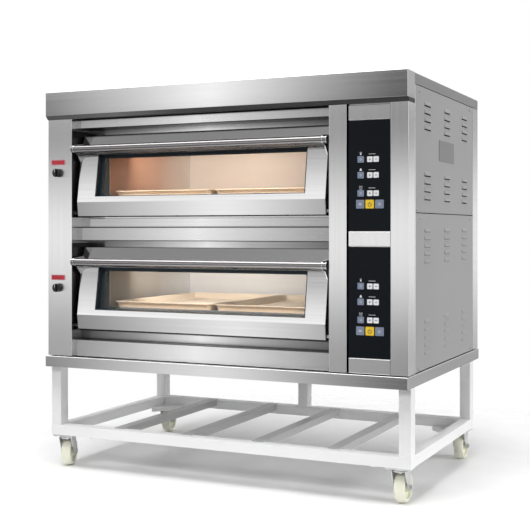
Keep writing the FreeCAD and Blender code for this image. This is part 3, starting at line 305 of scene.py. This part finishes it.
def knob_material(node):
    """Black moulding with a white pointer line painted on the upper half of the grip."""
    shader = Shader(node + "_moulding", Roughness=0.28)
    low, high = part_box(node)
    middle = (low + high) / 2
    x, y, z = shader.axes()
    beside = shader.math("ABSOLUTE", shader.math("SUBTRACT", x, middle.x))
    line = shader.math("LESS_THAN", beside, POINTER_HALF_WIDTH)
    line = shader.math("MULTIPLY", line, shader.math("GREATER_THAN", z, middle.z + POINTER_START))
    line = shader.math("MULTIPLY", line, shader.math("LESS_THAN", y, low.y + POINTER_DEPTH))
    peel = shader.noise(shader.coords, 1500.0)
    base = shader.mix(peel, (0.006, 0.006, 0.006), (0.012, 0.012, 0.012))
    shader.colour(shader.mix(line, base, (0.8, 0.8, 0.8)))
    shader.bump(peel, 0.05, 0.0003)
    return shader.material


def lamp_dome():
    shader = Shader("lamp_dome_lit", Roughness=0.25, Emission_Strength=2.5)
    clouds = shader.noise(shader.coords, 60.0)
    glow = shader.mix(clouds, (1.0, 0.78, 0.50), (1.0, 0.88, 0.68))
    shader.colour(glow)
    shader.link(glow, shader.bsdf.inputs["Emission Color"])
    return shader.material


STEEL = (0.72, 0.72, 0.72)
SHEET_TONE = (0.33, 0.33, 0.33)
UPRIGHT_TONE = (0.76, 0.76, 0.76)
FACE = -0.447                       # front plane of the columns
LEFT_WALL = -0.571                  # left wall of the door bay
CONTROL_JOINT = (0.4705, 0.4775)    # joint between the stile and the control panels
DOOR_EDGE = 0.3946                  # just inside the doors' right-hand side wall
STRIP_JOINT = (0.6140, 0.6156)      # joint between the control strips and the outer column
SIDE_PLATE = ((None, -0.1035, 1.0865), (None, 0.0835, 1.1575))   # just round the raised blank plate

# Heights, as places or as (bottom, top).
HOOD_CHAMFER = (1.2495, 1.2638)
UPPER_DOOR_FOOT = (0.9005, 0.9056)
LOWER_DOOR_FOOT = (0.5005, 0.5056)
ALL_BARS = (0.40, 1.26)
UPPER_LINTEL = (1.19, 1.22)
UPPER_SILL = (0.864, 0.900)
LOWER_LINTEL = (0.79, 0.83)
LOWER_SILL = (0.46, 0.52)
BAR_TOPS = (0.467, 0.866, 1.248)    # upper edges of the bottom, middle and header bars
BAR_FEET = (0.818, 1.217)           # lower edges of the middle and header bars
SHADED_WALL_FEET = (0.50, 0.90)      # lower ends of the painted shade on the door bay's left wall, beside each door
SHADED_WALL_RISE = 0.31
EDGE_ON_BAR = 2.4 * MM              # how far the painted shade along a bar's edge reaches on to the bar
EDGE_PAST_BAR = 1.2 * MM            # and past it

# Painted shade along the upper and lower edges of the bars.
BAR_EDGE_SHADES = [level_patch(z - EDGE_ON_BAR, z + EDGE_PAST_BAR, JOINT_SHADE) for z in BAR_TOPS]
BAR_EDGE_SHADES += [level_patch(z - EDGE_PAST_BAR, z + EDGE_ON_BAR, JOINT_SHADE) for z in BAR_FEET]
# Painted shade on the doors' right-hand side walls and along their feet.
DOOR_STEEL = brushed("door_stainless", (0.78, 0.78, 0.78), 0.09, SIDEWAYS, spread=0.0, patches=[
    ((DOOR_EDGE, None, None), (None, None, None), JOINT_SHADE),
    level_patch(*UPPER_DOOR_FOOT, DOOR_FOOT_SHADE),
    level_patch(*LOWER_DOOR_FOOT, DOOR_FOOT_SHADE),
])
BRACKET_CHROME = polished("bracket_chrome", (0.62, 0.62, 0.63), 0.10)
WHITE_PRINT = coated("white_print", (0.85, 0.86, 0.88), 0.4, speckle=1500.0)
KEY_GREY = (0.22, 0.26, 0.35)
SLOT_MATERIALS = {
    "stainless": brushed("stainless_brushed_sideways", STEEL, 0.20, SIDEWAYS),
    "door_steel": DOOR_STEEL,
    "side_sheet": side_sheet("side_sheet_grey"),
    "stand_steel": coated("stand_silver", (0.88, 0.88, 0.88), 0.42),
    "handle_steel": polished("handle_polished", (0.32, 0.31, 0.31), 0.22),
    "chrome": polished("bright_chrome", (0.85, 0.85, 0.86), 0.08),
    "slate_frame": coated("slate_enamel", (0.030, 0.045, 0.058), 0.30, speckle=500.0),
    "glass": clear_glass(),
    "black_panel": coated("panel_overlay", (0.006, 0.008, 0.011), 0.22, speckle=1200.0,
                          strength=0.01, shine=0.10),
    "keys": coated("key_grey_blue", KEY_GREY, 0.35, speckle=1500.0),
    "badge_red": coated("blank_plate_red", (0.50, 0.03, 0.05), 0.30, speckle=1500.0),
    "nylon": coated("ivory_nylon", (0.84, 0.84, 0.70), 0.34, speckle=1200.0),
    "zinc": coated("zinc_plate", (0.60, 0.60, 0.61), 0.30, speckle=400.0, metal=0.9),
    "chamber_steel": heat_tinted("upper_lining", (0.90, 0.86, 0.82), (0.36, 0.13, 0.035)),
    "stone": sole_stone(),
    "element_steel": coated("element_sheath", (0.10, 0.075, 0.06), 0.45, speckle=600.0, metal=0.6),
    "fibre": coated("ceramic_fibre", (0.80, 0.78, 0.72), 0.90, speckle=300.0, strength=0.4),
    "tray_metal": heat_tinted("tray_aluminium", (0.90, 0.76, 0.60)),
    "silicone": coated("seal_silicone", (0.10, 0.03, 0.02), 0.55),
    "lamp_glass": lamp_dome(),
    "board": coated("circuit_board", (0.02, 0.10, 0.04), 0.5),
    "black_plastic": coated("black_moulding", (0.02, 0.02, 0.02), 0.4),
}
NODE_MATERIALS = {
    # The hood's chamfer has painted shade.
    "hood_fascia": brushed("stainless_hood", STEEL, 0.05, SIDEWAYS, spread=0.0, patches=[
        level_patch(*HOOD_CHAMFER, SHADED_CHAMFER),
    ]),
    "plinth_skirt": brushed("stainless_plinth", (0.69, 0.69, 0.69), 0.10, SIDEWAYS, spread=0.0),
    # Painted shade towards the ends of the bars and along their edges.
    "cross_bars": brushed("stainless_bars", (0.90, 0.90, 0.90), 0.22, SIDEWAYS, patches=[
        level_patch(*ALL_BARS, SOFT_SHADED_ENDS),
        *BAR_EDGE_SHADES,
    ]),
    # Painted shade towards the ends of the sills and lintels.
    "mouth_plates": brushed("stainless_mouth", (0.84, 0.84, 0.84), 0.15, SIDEWAYS, patches=[
        level_patch(*LOWER_SILL, SHADED_ENDS),
        level_patch(*LOWER_LINTEL, SHADED_ENDS),
        level_patch(*UPPER_SILL, SOFT_SHADED_ENDS),
        level_patch(*UPPER_LINTEL, SHADED_ENDS),
    ]),
    # Painted shade on the door bay's left wall beside each door.
    "left_column": brushed("stainless_left_column", UPRIGHT_TONE, 0.20, UPRIGHT, spread=1.0, patches=[
        ((LEFT_WALL - MM, FACE + MM, z), (None, None, z + SHADED_WALL_RISE), JOINT_SHADE) for z in SHADED_WALL_FEET
    ]),
    # Painted shade in the joints beside the control panels and the outer column.
    "control_bay_frame": brushed("stainless_control_bay", UPRIGHT_TONE, 0.20, UPRIGHT, spread=1.0, patches=[
        ((CONTROL_JOINT[0], FACE + MM, None), (CONTROL_JOINT[1], None, None), CONTROL_JOINT_SHADE),
        ((STRIP_JOINT[0], None, None), (STRIP_JOINT[1], None, None), STRIP_JOINT_SHADE),
    ]),
    "upper_handle_brackets": BRACKET_CHROME,
    "lower_handle_brackets": BRACKET_CHROME,
    "hinge_pins": polished("pin_steel", (0.35, 0.35, 0.35), 0.25),
    "panel_screws": polished("screw_steel", (0.42, 0.42, 0.42), 0.35),
    # The roof is grey panel sheet, toned darker than the side panels as painted shade under the strong key
    # light from above.
    "roof_panel": coated("roof_sheet_shaded", (0.22, 0.22, 0.22), 0.5, speckle=700.0),
    # The slats are the stand's silver, toned darker as painted shade under the oven.
    "stand_slats": coated("slat_silver_shaded", (0.46, 0.46, 0.46), 0.42),
    "right_side_panels": side_sheet("side_sheet_right", SIDE_PLATE),
    "lower_chamber": heat_tinted("lower_lining", (0.86, 0.855, 0.85), (0.25, 0.20, 0.15)),
    "upper_knob": knob_material("upper_knob"),
    "lower_knob": knob_material("lower_knob"),
}
for subpart in frame["record"]["subparts"]:
    name = subpart["node"]
    NODES[name].data.materials.clear()
    NODES[name].data.materials.append(NODE_MATERIALS.get(name) or SLOT_MATERIALS[subpart["material_slot"]])


# ---- mesh helpers -------------------------------------------------------------------
WELD_DISTANCE = 1e-6
EASE_TURN = 0.3       # share of an eased edge at which it turns


def add_piece(name, work, body, slot_name, material, *replaced):
    """Turn a finished bmesh into a piece that rides on a body."""
    mesh = bpy.data.meshes.new(name)
    bmesh.ops.recalc_face_normals(work, faces=work.faces)
    work.to_mesh(mesh)
    work.free()
    mesh.materials.append(material)
    piece = bpy.data.objects.new(name, mesh)
    bpy.context.scene.collection.objects.link(piece)
    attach(piece, body)
    if replaced:
        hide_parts(*replaced)


def islands(node):
    """(lowest, highest) corner of every separate solid in a CAD node."""
    work = bmesh.new()
    work.from_mesh(NODES[node].data)
    bmesh.ops.remove_doubles(work, verts=work.verts, dist=WELD_DISTANCE)
    boxes = []
    waiting = set(work.verts)
    while waiting:
        group = [waiting.pop()]
        for vert in group:
            for edge in vert.link_edges:
                other = edge.other_vert(vert)
                if other in waiting:
                    waiting.remove(other)
                    group.append(other)
        boxes.append(tuple(Vector([pick(v.co[i] for v in group) for i in range(3)]) for pick in (min, max)))
    work.free()
    return sorted(boxes, key=lambda b: (round(b[0].z, 4), b[0].x))


def rounded(low_x, high_x, low_z, high_z, radius, steps=5):
    """(x, z) points round a rectangle with rounded corners."""
    points = []
    for cx, cz, start in ((high_x - radius, low_z + radius, -90), (high_x - radius, high_z - radius, 0),
                          (low_x + radius, high_z - radius, 90), (low_x + radius, low_z + radius, 180)):
        for i in range(steps + 1):
            angle = math.radians(start + 90 * i / steps)
            points.append((cx + radius * math.cos(angle), cz + radius * math.sin(angle)))
    return points


def bar(x, z, half_x, half_z):
    """(x, z) corners of a rectangle about its middle."""
    return [(x + half_x, z - half_z), (x + half_x, z + half_z),
            (x - half_x, z + half_z), (x - half_x, z - half_z)]


def add_plate(work, points, back, front, ease):
    """Front-facing plate over an (x, z) outline, its front edge eased."""
    middle = (sum(p[0] for p in points) / len(points), sum(p[1] for p in points) / len(points))
    turn = ease * EASE_TURN
    rings = []
    for y, inset in ((back, 0), (front + ease, 0), (front + turn, turn), (front, ease)):
        ring = []
        for x, z in points:
            keep = 1 - inset / math.dist((x, z), middle)
            ring.append(work.verts.new((middle[0] + (x - middle[0]) * keep, y,
                                        middle[1] + (z - middle[1]) * keep)))
        rings.append(ring)
    for near, far in zip(rings, rings[1:]):
        for i in range(len(points)):
            j = (i + 1) % len(points)
            work.faces.new((near[i], near[j], far[j], far[i]))
    work.faces.new(rings[-1])
    work.faces.new(rings[0][::-1])


def add_arc(work, centre, outer, inner, back, front, start=0, sweep=360, steps=28):
    """Flat ring or arc facing the front; centre is (x, z)."""
    closed = sweep == 360
    columns = []
    for i in range(steps if closed else steps + 1):
        angle = math.radians(start + sweep * i / steps)
        columns.append([work.verts.new((centre[0] + math.cos(angle) * r, y, centre[1] + math.sin(angle) * r))
                        for r, y in ((outer, back), (outer, front), (inner, front), (inner, back))])
    for i in range(steps):
        near, far = columns[i], columns[(i + 1) % len(columns)]
        for j in range(4):
            work.faces.new((near[j], far[j], far[(j + 1) % 4], near[(j + 1) % 4]))
    if not closed:
        work.faces.new(columns[0])
        work.faces.new(columns[-1][::-1])


# ---- membrane keys and their symbols ------------------------------------------------
PRINT = 0.2 * MM      # raised print stands this proud of what it is on
PRINT_EASE = 0.05 * MM
KEY_RADIUS = 2.2 * MM
KEY_EASE = 0.45 * MM
KEY_ROW_REACH = 4 * MM     # keys whose middles are closer in height than this share a row
SYMBOL_RISE = 7 * MM       # middle of a symbol above its row
RULE_RISE = 6 * MM
RULE_SHIFT = 3 * MM        # from the middle of the plus and minus keys, towards the symbols
RULE_HALF = (11 * MM, 0.6 * MM)
STROKE_HALF = 0.75 * MM    # of the plus and minus signs
STROKE_HALF_LENGTH = 3.6 * MM


def print_plate(work, points, face):
    add_plate(work, points, face, face - PRINT, PRINT_EASE)


def print_arc(work, centre, outer, inner, face, *turn):
    add_arc(work, centre, outer, inner, face, face - PRINT, *turn)


def power_symbol(work, x, z, face):
    print_arc(work, (x, z), 6.4 * MM, 4.6 * MM, face, 118, 304)
    print_plate(work, bar(x, z + 5 * MM, 0.9 * MM, 3.2 * MM), face)


def drop_symbol(work, x, z, face):
    points = []
    for i in range(15):
        angle = math.radians(-210 + 240 * i / 14)
        points.append((x + 2.6 * MM * math.cos(angle), z - 1 * MM + 2.6 * MM * math.sin(angle)))
    print_plate(work, points + [(x, z + 4.5 * MM)], face)
    print_arc(work, (x, z - 1 * MM), 6.6 * MM, 5.8 * MM, face, 50, 80, 10)


def flame_symbol(work, x, z, face):
    print_plate(work, [(x + 4.4 * MM, z - 3.6 * MM), (x + 1.2 * MM, z + 4.2 * MM),
                       (x - 1.2 * MM, z + 4.2 * MM), (x - 4.4 * MM, z - 3.6 * MM)], face)


def clock_symbol(work, x, z, face):
    print_arc(work, (x, z - 0.6 * MM), 4.6 * MM, 3.7 * MM, face)
    print_plate(work, bar(x, z + 0.6 * MM, 0.5 * MM, 1.6 * MM), face)
    for side in (-1, 1):
        print_arc(work, (x + side * 3.6 * MM, z + 4 * MM), 2.2 * MM, 1.4 * MM, face,
                  90 - side * 45 - 70, 140, 8)


def key_rows():
    """The CAD pads as rows from the top down, each row from left to right, one list per panel."""
    boxes = islands("control_keys")
    middle = (boxes[0][0].z + boxes[-1][1].z) / 2
    panels = []
    for wanted in (True, False):
        rows = {}
        for low, high in boxes:
            if (low.z > middle) == wanted:
                height = (low.z + high.z) / 2
                near = [z for z in rows if abs(z - height) < KEY_ROW_REACH]
                rows.setdefault(near[0] if near else height, []).append((low, high))
        panels.append([sorted(rows[z], key=lambda b: b[0].x) for z in sorted(rows, reverse=True)])
    return panels


def print_setting_row(dark, pale, spots, face, symbol, top, overlay):
    """Ring, minus and plus on the keys of a setting, with its symbol and a short rule above them."""
    symbol(pale, spots[0][0], top + SYMBOL_RISE, overlay)
    rule_x = (spots[1][0] + spots[2][0]) / 2
    print_plate(pale, bar(rule_x - RULE_SHIFT, top + RULE_RISE, *RULE_HALF), overlay)
    for x, z in spots[1:]:
        print_plate(dark, bar(x, z, STROKE_HALF_LENGTH, STROKE_HALF), face)
    x, z = spots[1]
    for side in (-1, 1):
        print_plate(dark, bar(x, z + side * 2.2 * MM, STROKE_HALF, 1.4 * MM), face)
    print_arc(pale, spots[0], 3.2 * MM, 2.6 * MM, face)


def print_power_row(dark, pale, spots, face):
    """Three rules, the power sign and a ring on the keys of the lowest row."""
    power_symbol(dark, spots[1][0], spots[1][1] - 1 * MM, face)
    for offset in (-2.2, 0, 2.2):
        print_plate(pale, bar(spots[0][0], spots[0][1] + offset * MM, 5 * MM, 0.45 * MM), face)
    print_arc(pale, spots[2], 4.4 * MM, 3.6 * MM, face)
    print_plate(pale, bar(spots[2][0], spots[2][1], 0.5 * MM, 2.0 * MM), face)


def build_keys():
    """Coloured pads with plain symbols, in place of the CAD pads."""
    tones = {"grey": KEY_GREY, "white": (0.88, 0.89, 0.91), "yellow": (0.93, 0.62, 0.03)}
    pads = {colour: bmesh.new() for colour in tones}
    dark = bmesh.new()
    pale = bmesh.new()
    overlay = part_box("control_panels")[0].y
    for rows in key_rows():
        for row, symbol in zip(rows, (drop_symbol, flame_symbol, clock_symbol, None)):
            colours = ("grey", "white", "white") if symbol else ("grey", "yellow", "grey")
            for (low, high), colour in zip(row, colours):
                outline = rounded(low.x, high.x, low.z, high.z, KEY_RADIUS)
                add_plate(pads[colour], outline, high.y, low.y, KEY_EASE)
            spots = [((low.x + high.x) / 2, (low.z + high.z) / 2) for low, high in row]
            face = row[0][0].y
            if symbol:
                print_setting_row(dark, pale, spots, face, symbol, row[0][1].z, overlay)
            else:
                print_power_row(dark, pale, spots, face)
    for colour, work in pads.items():
        add_piece("keys_" + colour, work, "cabinet", "keys",
                  coated("key_pad_" + colour, tones[colour], 0.35, speckle=1500.0), "control_keys")
    add_piece("key_signs_dark", dark, "cabinet", "keys",
              coated("dark_print", (0.05, 0.05, 0.07), 0.4, speckle=1500.0), "control_keys")
    add_piece("panel_symbols", pale, "cabinet", "keys", WHITE_PRINT, "control_keys")


def build_badge_borders():
    """A thin pale line round each blank red plate."""
    work = bmesh.new()
    inset = 1.2 * MM
    line = 0.35 * MM
    for low, high in islands("blank_badges"):
        middle = (low + high) / 2
        half_x = (high.x - low.x) / 2 - inset
        half_z = (high.z - low.z) / 2 - inset
        for side in (-1, 1):
            print_plate(work, bar(middle.x, middle.z + side * half_z, half_x, line), low.y)
            print_plate(work, bar(middle.x + side * half_x, middle.z, line, half_z - line), low.y)
    add_piece("badge_borders", work, "cabinet", "badge_red", WHITE_PRINT)


build_keys()
build_badge_borders()


# ---- studio -------------------------------------------------------------------------
CAMERA_PLACE = (1.64719, -3.54944, 0.856)
CAMERA_TURN = 25.18       # degrees, from looking straight at the oven's front
LENS = 71.66              # mm, on a sensor 36 mm wide
SENSOR_WIDTH = 36.0
LENS_SHIFT = -0.066       # share of the picture's width
VIEW_LIMIT = 60.0


def add_camera():
    """Level camera, looking in from the right-hand front."""
    data = bpy.data.cameras.new("camera")
    data.lens = LENS
    data.sensor_width = SENSOR_WIDTH
    data.shift_y = LENS_SHIFT
    data.clip_end = VIEW_LIMIT
    camera = bpy.data.objects.new("camera", data)
    camera.location = CAMERA_PLACE
    camera.rotation_euler = (math.radians(90), 0, math.radians(CAMERA_TURN))
    bpy.context.scene.collection.objects.link(camera)
    bpy.context.scene.camera = camera


def add_area(name, place, target, size, power, tint=(1, 1, 1)):
    """Soft light aimed at a target, seen neither by the camera nor in reflections."""
    data = bpy.data.lights.new(name, "AREA")
    data.shape = "RECTANGLE"
    data.size, data.size_y = size
    data.energy = power
    data.color = tint
    lamp = bpy.data.objects.new(name, data)
    lamp.location = place
    lamp.rotation_euler = (Vector(target) - Vector(place)).to_track_quat("-Z", "Y").to_euler()
    lamp.visible_camera = False
    lamp.visible_glossy = False
    bpy.context.scene.collection.objects.link(lamp)


# What reflections see, as (degrees, brightness) stops. Azimuth runs leftwards from straight ahead of the oven.
BRIGHT_STRIPS = [(-180, 0.30), (-165, 0.38), (-150, 0.56), (-132, 1.0), (-100, 0.25), (-62, 0.9), (-30, 0.2),
                 (-5, 0.12), (12, 0.05), (18.4, 0.14), (22.9, 0.44), (28.2, 1.0), (32.7, 0.60), (36.7, 0.24),
                 (48, 0.10), (75, 0.9), (110, 0.25), (150, 1.0), (180, 0.35)]
# Elevation is height against distance before or behind the oven, so a level runs straight across the front.
LEVELS = [(-75, 1.3), (-50, 0.6), (-36, 0.15), (-27, 0.15), (-22, 1.15), (-9, 1.22), (-6.6, 1.0),
          (-3.3, 1.15), (2.8, 1.15), (5.4, 0.80), (6.9, 0.72), (7.5, 1.33), (9.6, 1.33), (11.8, 1.27),
          (14.4, 0.36), (15.4, 0.36), (17.4, 1.25), (19.2, 1.25), (21.8, 0.36), (31, 0.38), (53, 0.30),
          (58, 5.0), (66, 5.0), (71, 0.8)]
BRIGHTEST = 5.0           # a ramp holds no more than 1, so it holds shares of this level
# How strongly the strips show at each elevation, from 0 to 1.
STRIP_SHARE = [(-60, 0.0), (-24, 0.95), (-7.2, 0.95), (-1.8, 0.05), (0.9, 0.05), (6.2, 0.97), (9.5, 1.0),
               (10.5, 0.0), (24, 0.0), (35, 0.2), (60, 0.0)]
LEAST_DISTANCE = 0.5      # keeps the levels low where a ray runs sideways
DIFFUSE_LEVEL = 0.13      # what matt surfaces receive from the surroundings


def angle_ramp(tree, radians, stops, span):
    """Colour ramp over an angle whose stops are in degrees, within half the span either way."""
    scale = tree.nodes.new("ShaderNodeMapRange")
    scale.inputs["From Min"].default_value = -math.radians(span / 2)
    scale.inputs["From Max"].default_value = math.radians(span / 2)
    tree.links.new(radians, scale.inputs["Value"])
    ramp = tree.nodes.new("ShaderNodeValToRGB")
    set_stops(ramp.color_ramp, [(degrees / span + 0.5, level) for degrees, level in stops])
    tree.links.new(scale.outputs["Result"], ramp.inputs["Fac"])
    return ramp.outputs["Color"]


def add_world():
    """Studio surroundings that differ by ray.

    The camera sees plain white, reflections see upright strips and level bands, and matt surfaces
    receive an even, weak light.
    """
    world = bpy.data.worlds.new("studio")
    bpy.context.scene.world = world
    world.use_nodes = True
    tree = world.node_tree
    split = tree.nodes.new("ShaderNodeSeparateXYZ")
    tree.links.new(tree.nodes.new("ShaderNodeTexCoord").outputs["Generated"], split.inputs[0])
    x, y, z = split.outputs
    leftwards = math_node(tree, "MULTIPLY", x, -1.0)
    forwards = math_node(tree, "MULTIPLY", y, -1.0)
    azimuth = math_node(tree, "ARCTAN2", leftwards, forwards)
    distance = math_node(tree, "MAXIMUM", math_node(tree, "ABSOLUTE", y), LEAST_DISTANCE)
    elevation = math_node(tree, "ARCTAN2", z, distance)
    strips = angle_ramp(tree, azimuth, BRIGHT_STRIPS, 360)
    share = angle_ramp(tree, elevation, STRIP_SHARE, 180)
    dimmed = math_node(tree, "MULTIPLY", share, math_node(tree, "SUBTRACT", 1.0, strips))
    level = angle_ramp(tree, elevation, [(angle, level / BRIGHTEST) for angle, level in LEVELS], 180)
    lit = math_node(tree, "MULTIPLY", math_node(tree, "MULTIPLY", level, BRIGHTEST),
                    math_node(tree, "SUBTRACT", 1.0, dimmed))
    path = tree.nodes.new("ShaderNodeLightPath").outputs
    reflected = math_node(tree, "MULTIPLY", path["Is Glossy Ray"],
                          math_node(tree, "SUBTRACT", lit, DIFFUSE_LEVEL))
    seen = math_node(tree, "MULTIPLY", path["Is Camera Ray"], 1.0 - DIFFUSE_LEVEL)
    strength = math_node(tree, "ADD", DIFFUSE_LEVEL, math_node(tree, "ADD", reflected, seen))
    studio = tree.nodes["Background"]
    studio.inputs["Color"].default_value = (1, 1, 1, 1)
    tree.links.new(strength, studio.inputs["Strength"])
    world.cycles.sampling_method = "NONE"


FLOOR_RADIUS = 2.1
FLOOR_FADE = [(0.48, 1.0), (0.80, 0.0)]   # (share of the radius, opacity)


def add_floor():
    """A pale floor disc that fades out before its edge."""
    work = bmesh.new()
    bmesh.ops.create_circle(work, cap_ends=True, segments=96, radius=FLOOR_RADIUS)
    mesh = bpy.data.meshes.new("floor")
    work.to_mesh(mesh)
    work.free()
    floor = bpy.data.objects.new("floor", mesh)
    bpy.context.scene.collection.objects.link(floor)
    shader = Shader("floor_white", Roughness=0.7)
    shader.colour(shader.ramp(shader.noise(shader.coords, 6.0, 3.0), [(0.3, 0.90), (0.7, 0.93)]))
    length = shader.node("VectorMath", operation="LENGTH")
    shader.link(shader.coords, length.inputs[0])
    outward = shader.math("DIVIDE", length.outputs["Value"], FLOOR_RADIUS)
    shader.link(shader.ramp(outward, FLOOR_FADE), shader.bsdf.inputs["Alpha"])
    mesh.materials.append(shader.material)


LAMP_ACROSS = 0.30        # share of the chamber's width
LAMP_INWARD = 0.20        # from the chamber's front
LAMP_DROP = 0.03          # from its roof
LAMP_AIM = 0.16           # height above its floor that the lamp is aimed at
LAMP_SIZE = (0.4, 0.05)
MOUTH_OUTWARD = 0.004     # the light at the mouth, before the chamber's front
MOUTH_HEIGHT = 0.130
MOUTH_REACH = 0.05        # how far inwards and down it is aimed
MOUTH_SIZE = (0.8, 0.01)


def light_chamber(node, power, mouth_power, tint):
    """Light inside one chamber: from behind its lintel, and low at the mouth for the trays' fronts."""
    low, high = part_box(node)
    place = Vector((low.x + (high.x - low.x) * LAMP_ACROSS, low.y + LAMP_INWARD, high.z - LAMP_DROP))
    add_area(node + "_light", place, (place.x, high.y, low.z + LAMP_AIM), LAMP_SIZE, power, tint)
    place = Vector(((low.x + high.x) / 2, low.y - MOUTH_OUTWARD, low.z + MOUTH_HEIGHT))
    add_area(node + "_front_light", place, (place.x, place.y + MOUTH_REACH, place.z - MOUTH_REACH),
             MOUTH_SIZE, mouth_power, tint)


add_camera()
add_world()
add_floor()
light_chamber("upper_chamber", 2.05, 0.8, (1.0, 0.92, 0.82))
light_chamber("lower_chamber", 2.3, 0.5, (1.0, 0.98, 0.96))
add_area("key_light", (0.1, -1.3, 5.0), (0, 0, 0), (3.1, 3.1), 240)
add_area("front_fill", (-0.6, -3.8, 2.4), (0, 0, 0.6), (2.5, 1.0), 56)
add_area("right_fill", (3.8, 0.3, 1.3), (0, 0, 0.8), (2.0, 1.0), 72)
add_area("left_fill", (-3.8, 0.3, 1.3), (0, 0, 0.8), (2.0, 1.0), 40)
add_area("rear_fill", (0.4, 4.2, 1.3), (0, 0, 0.8), (2.5, 1.0), 45)
bpy.context.scene.view_settings.view_transform = "Standard"
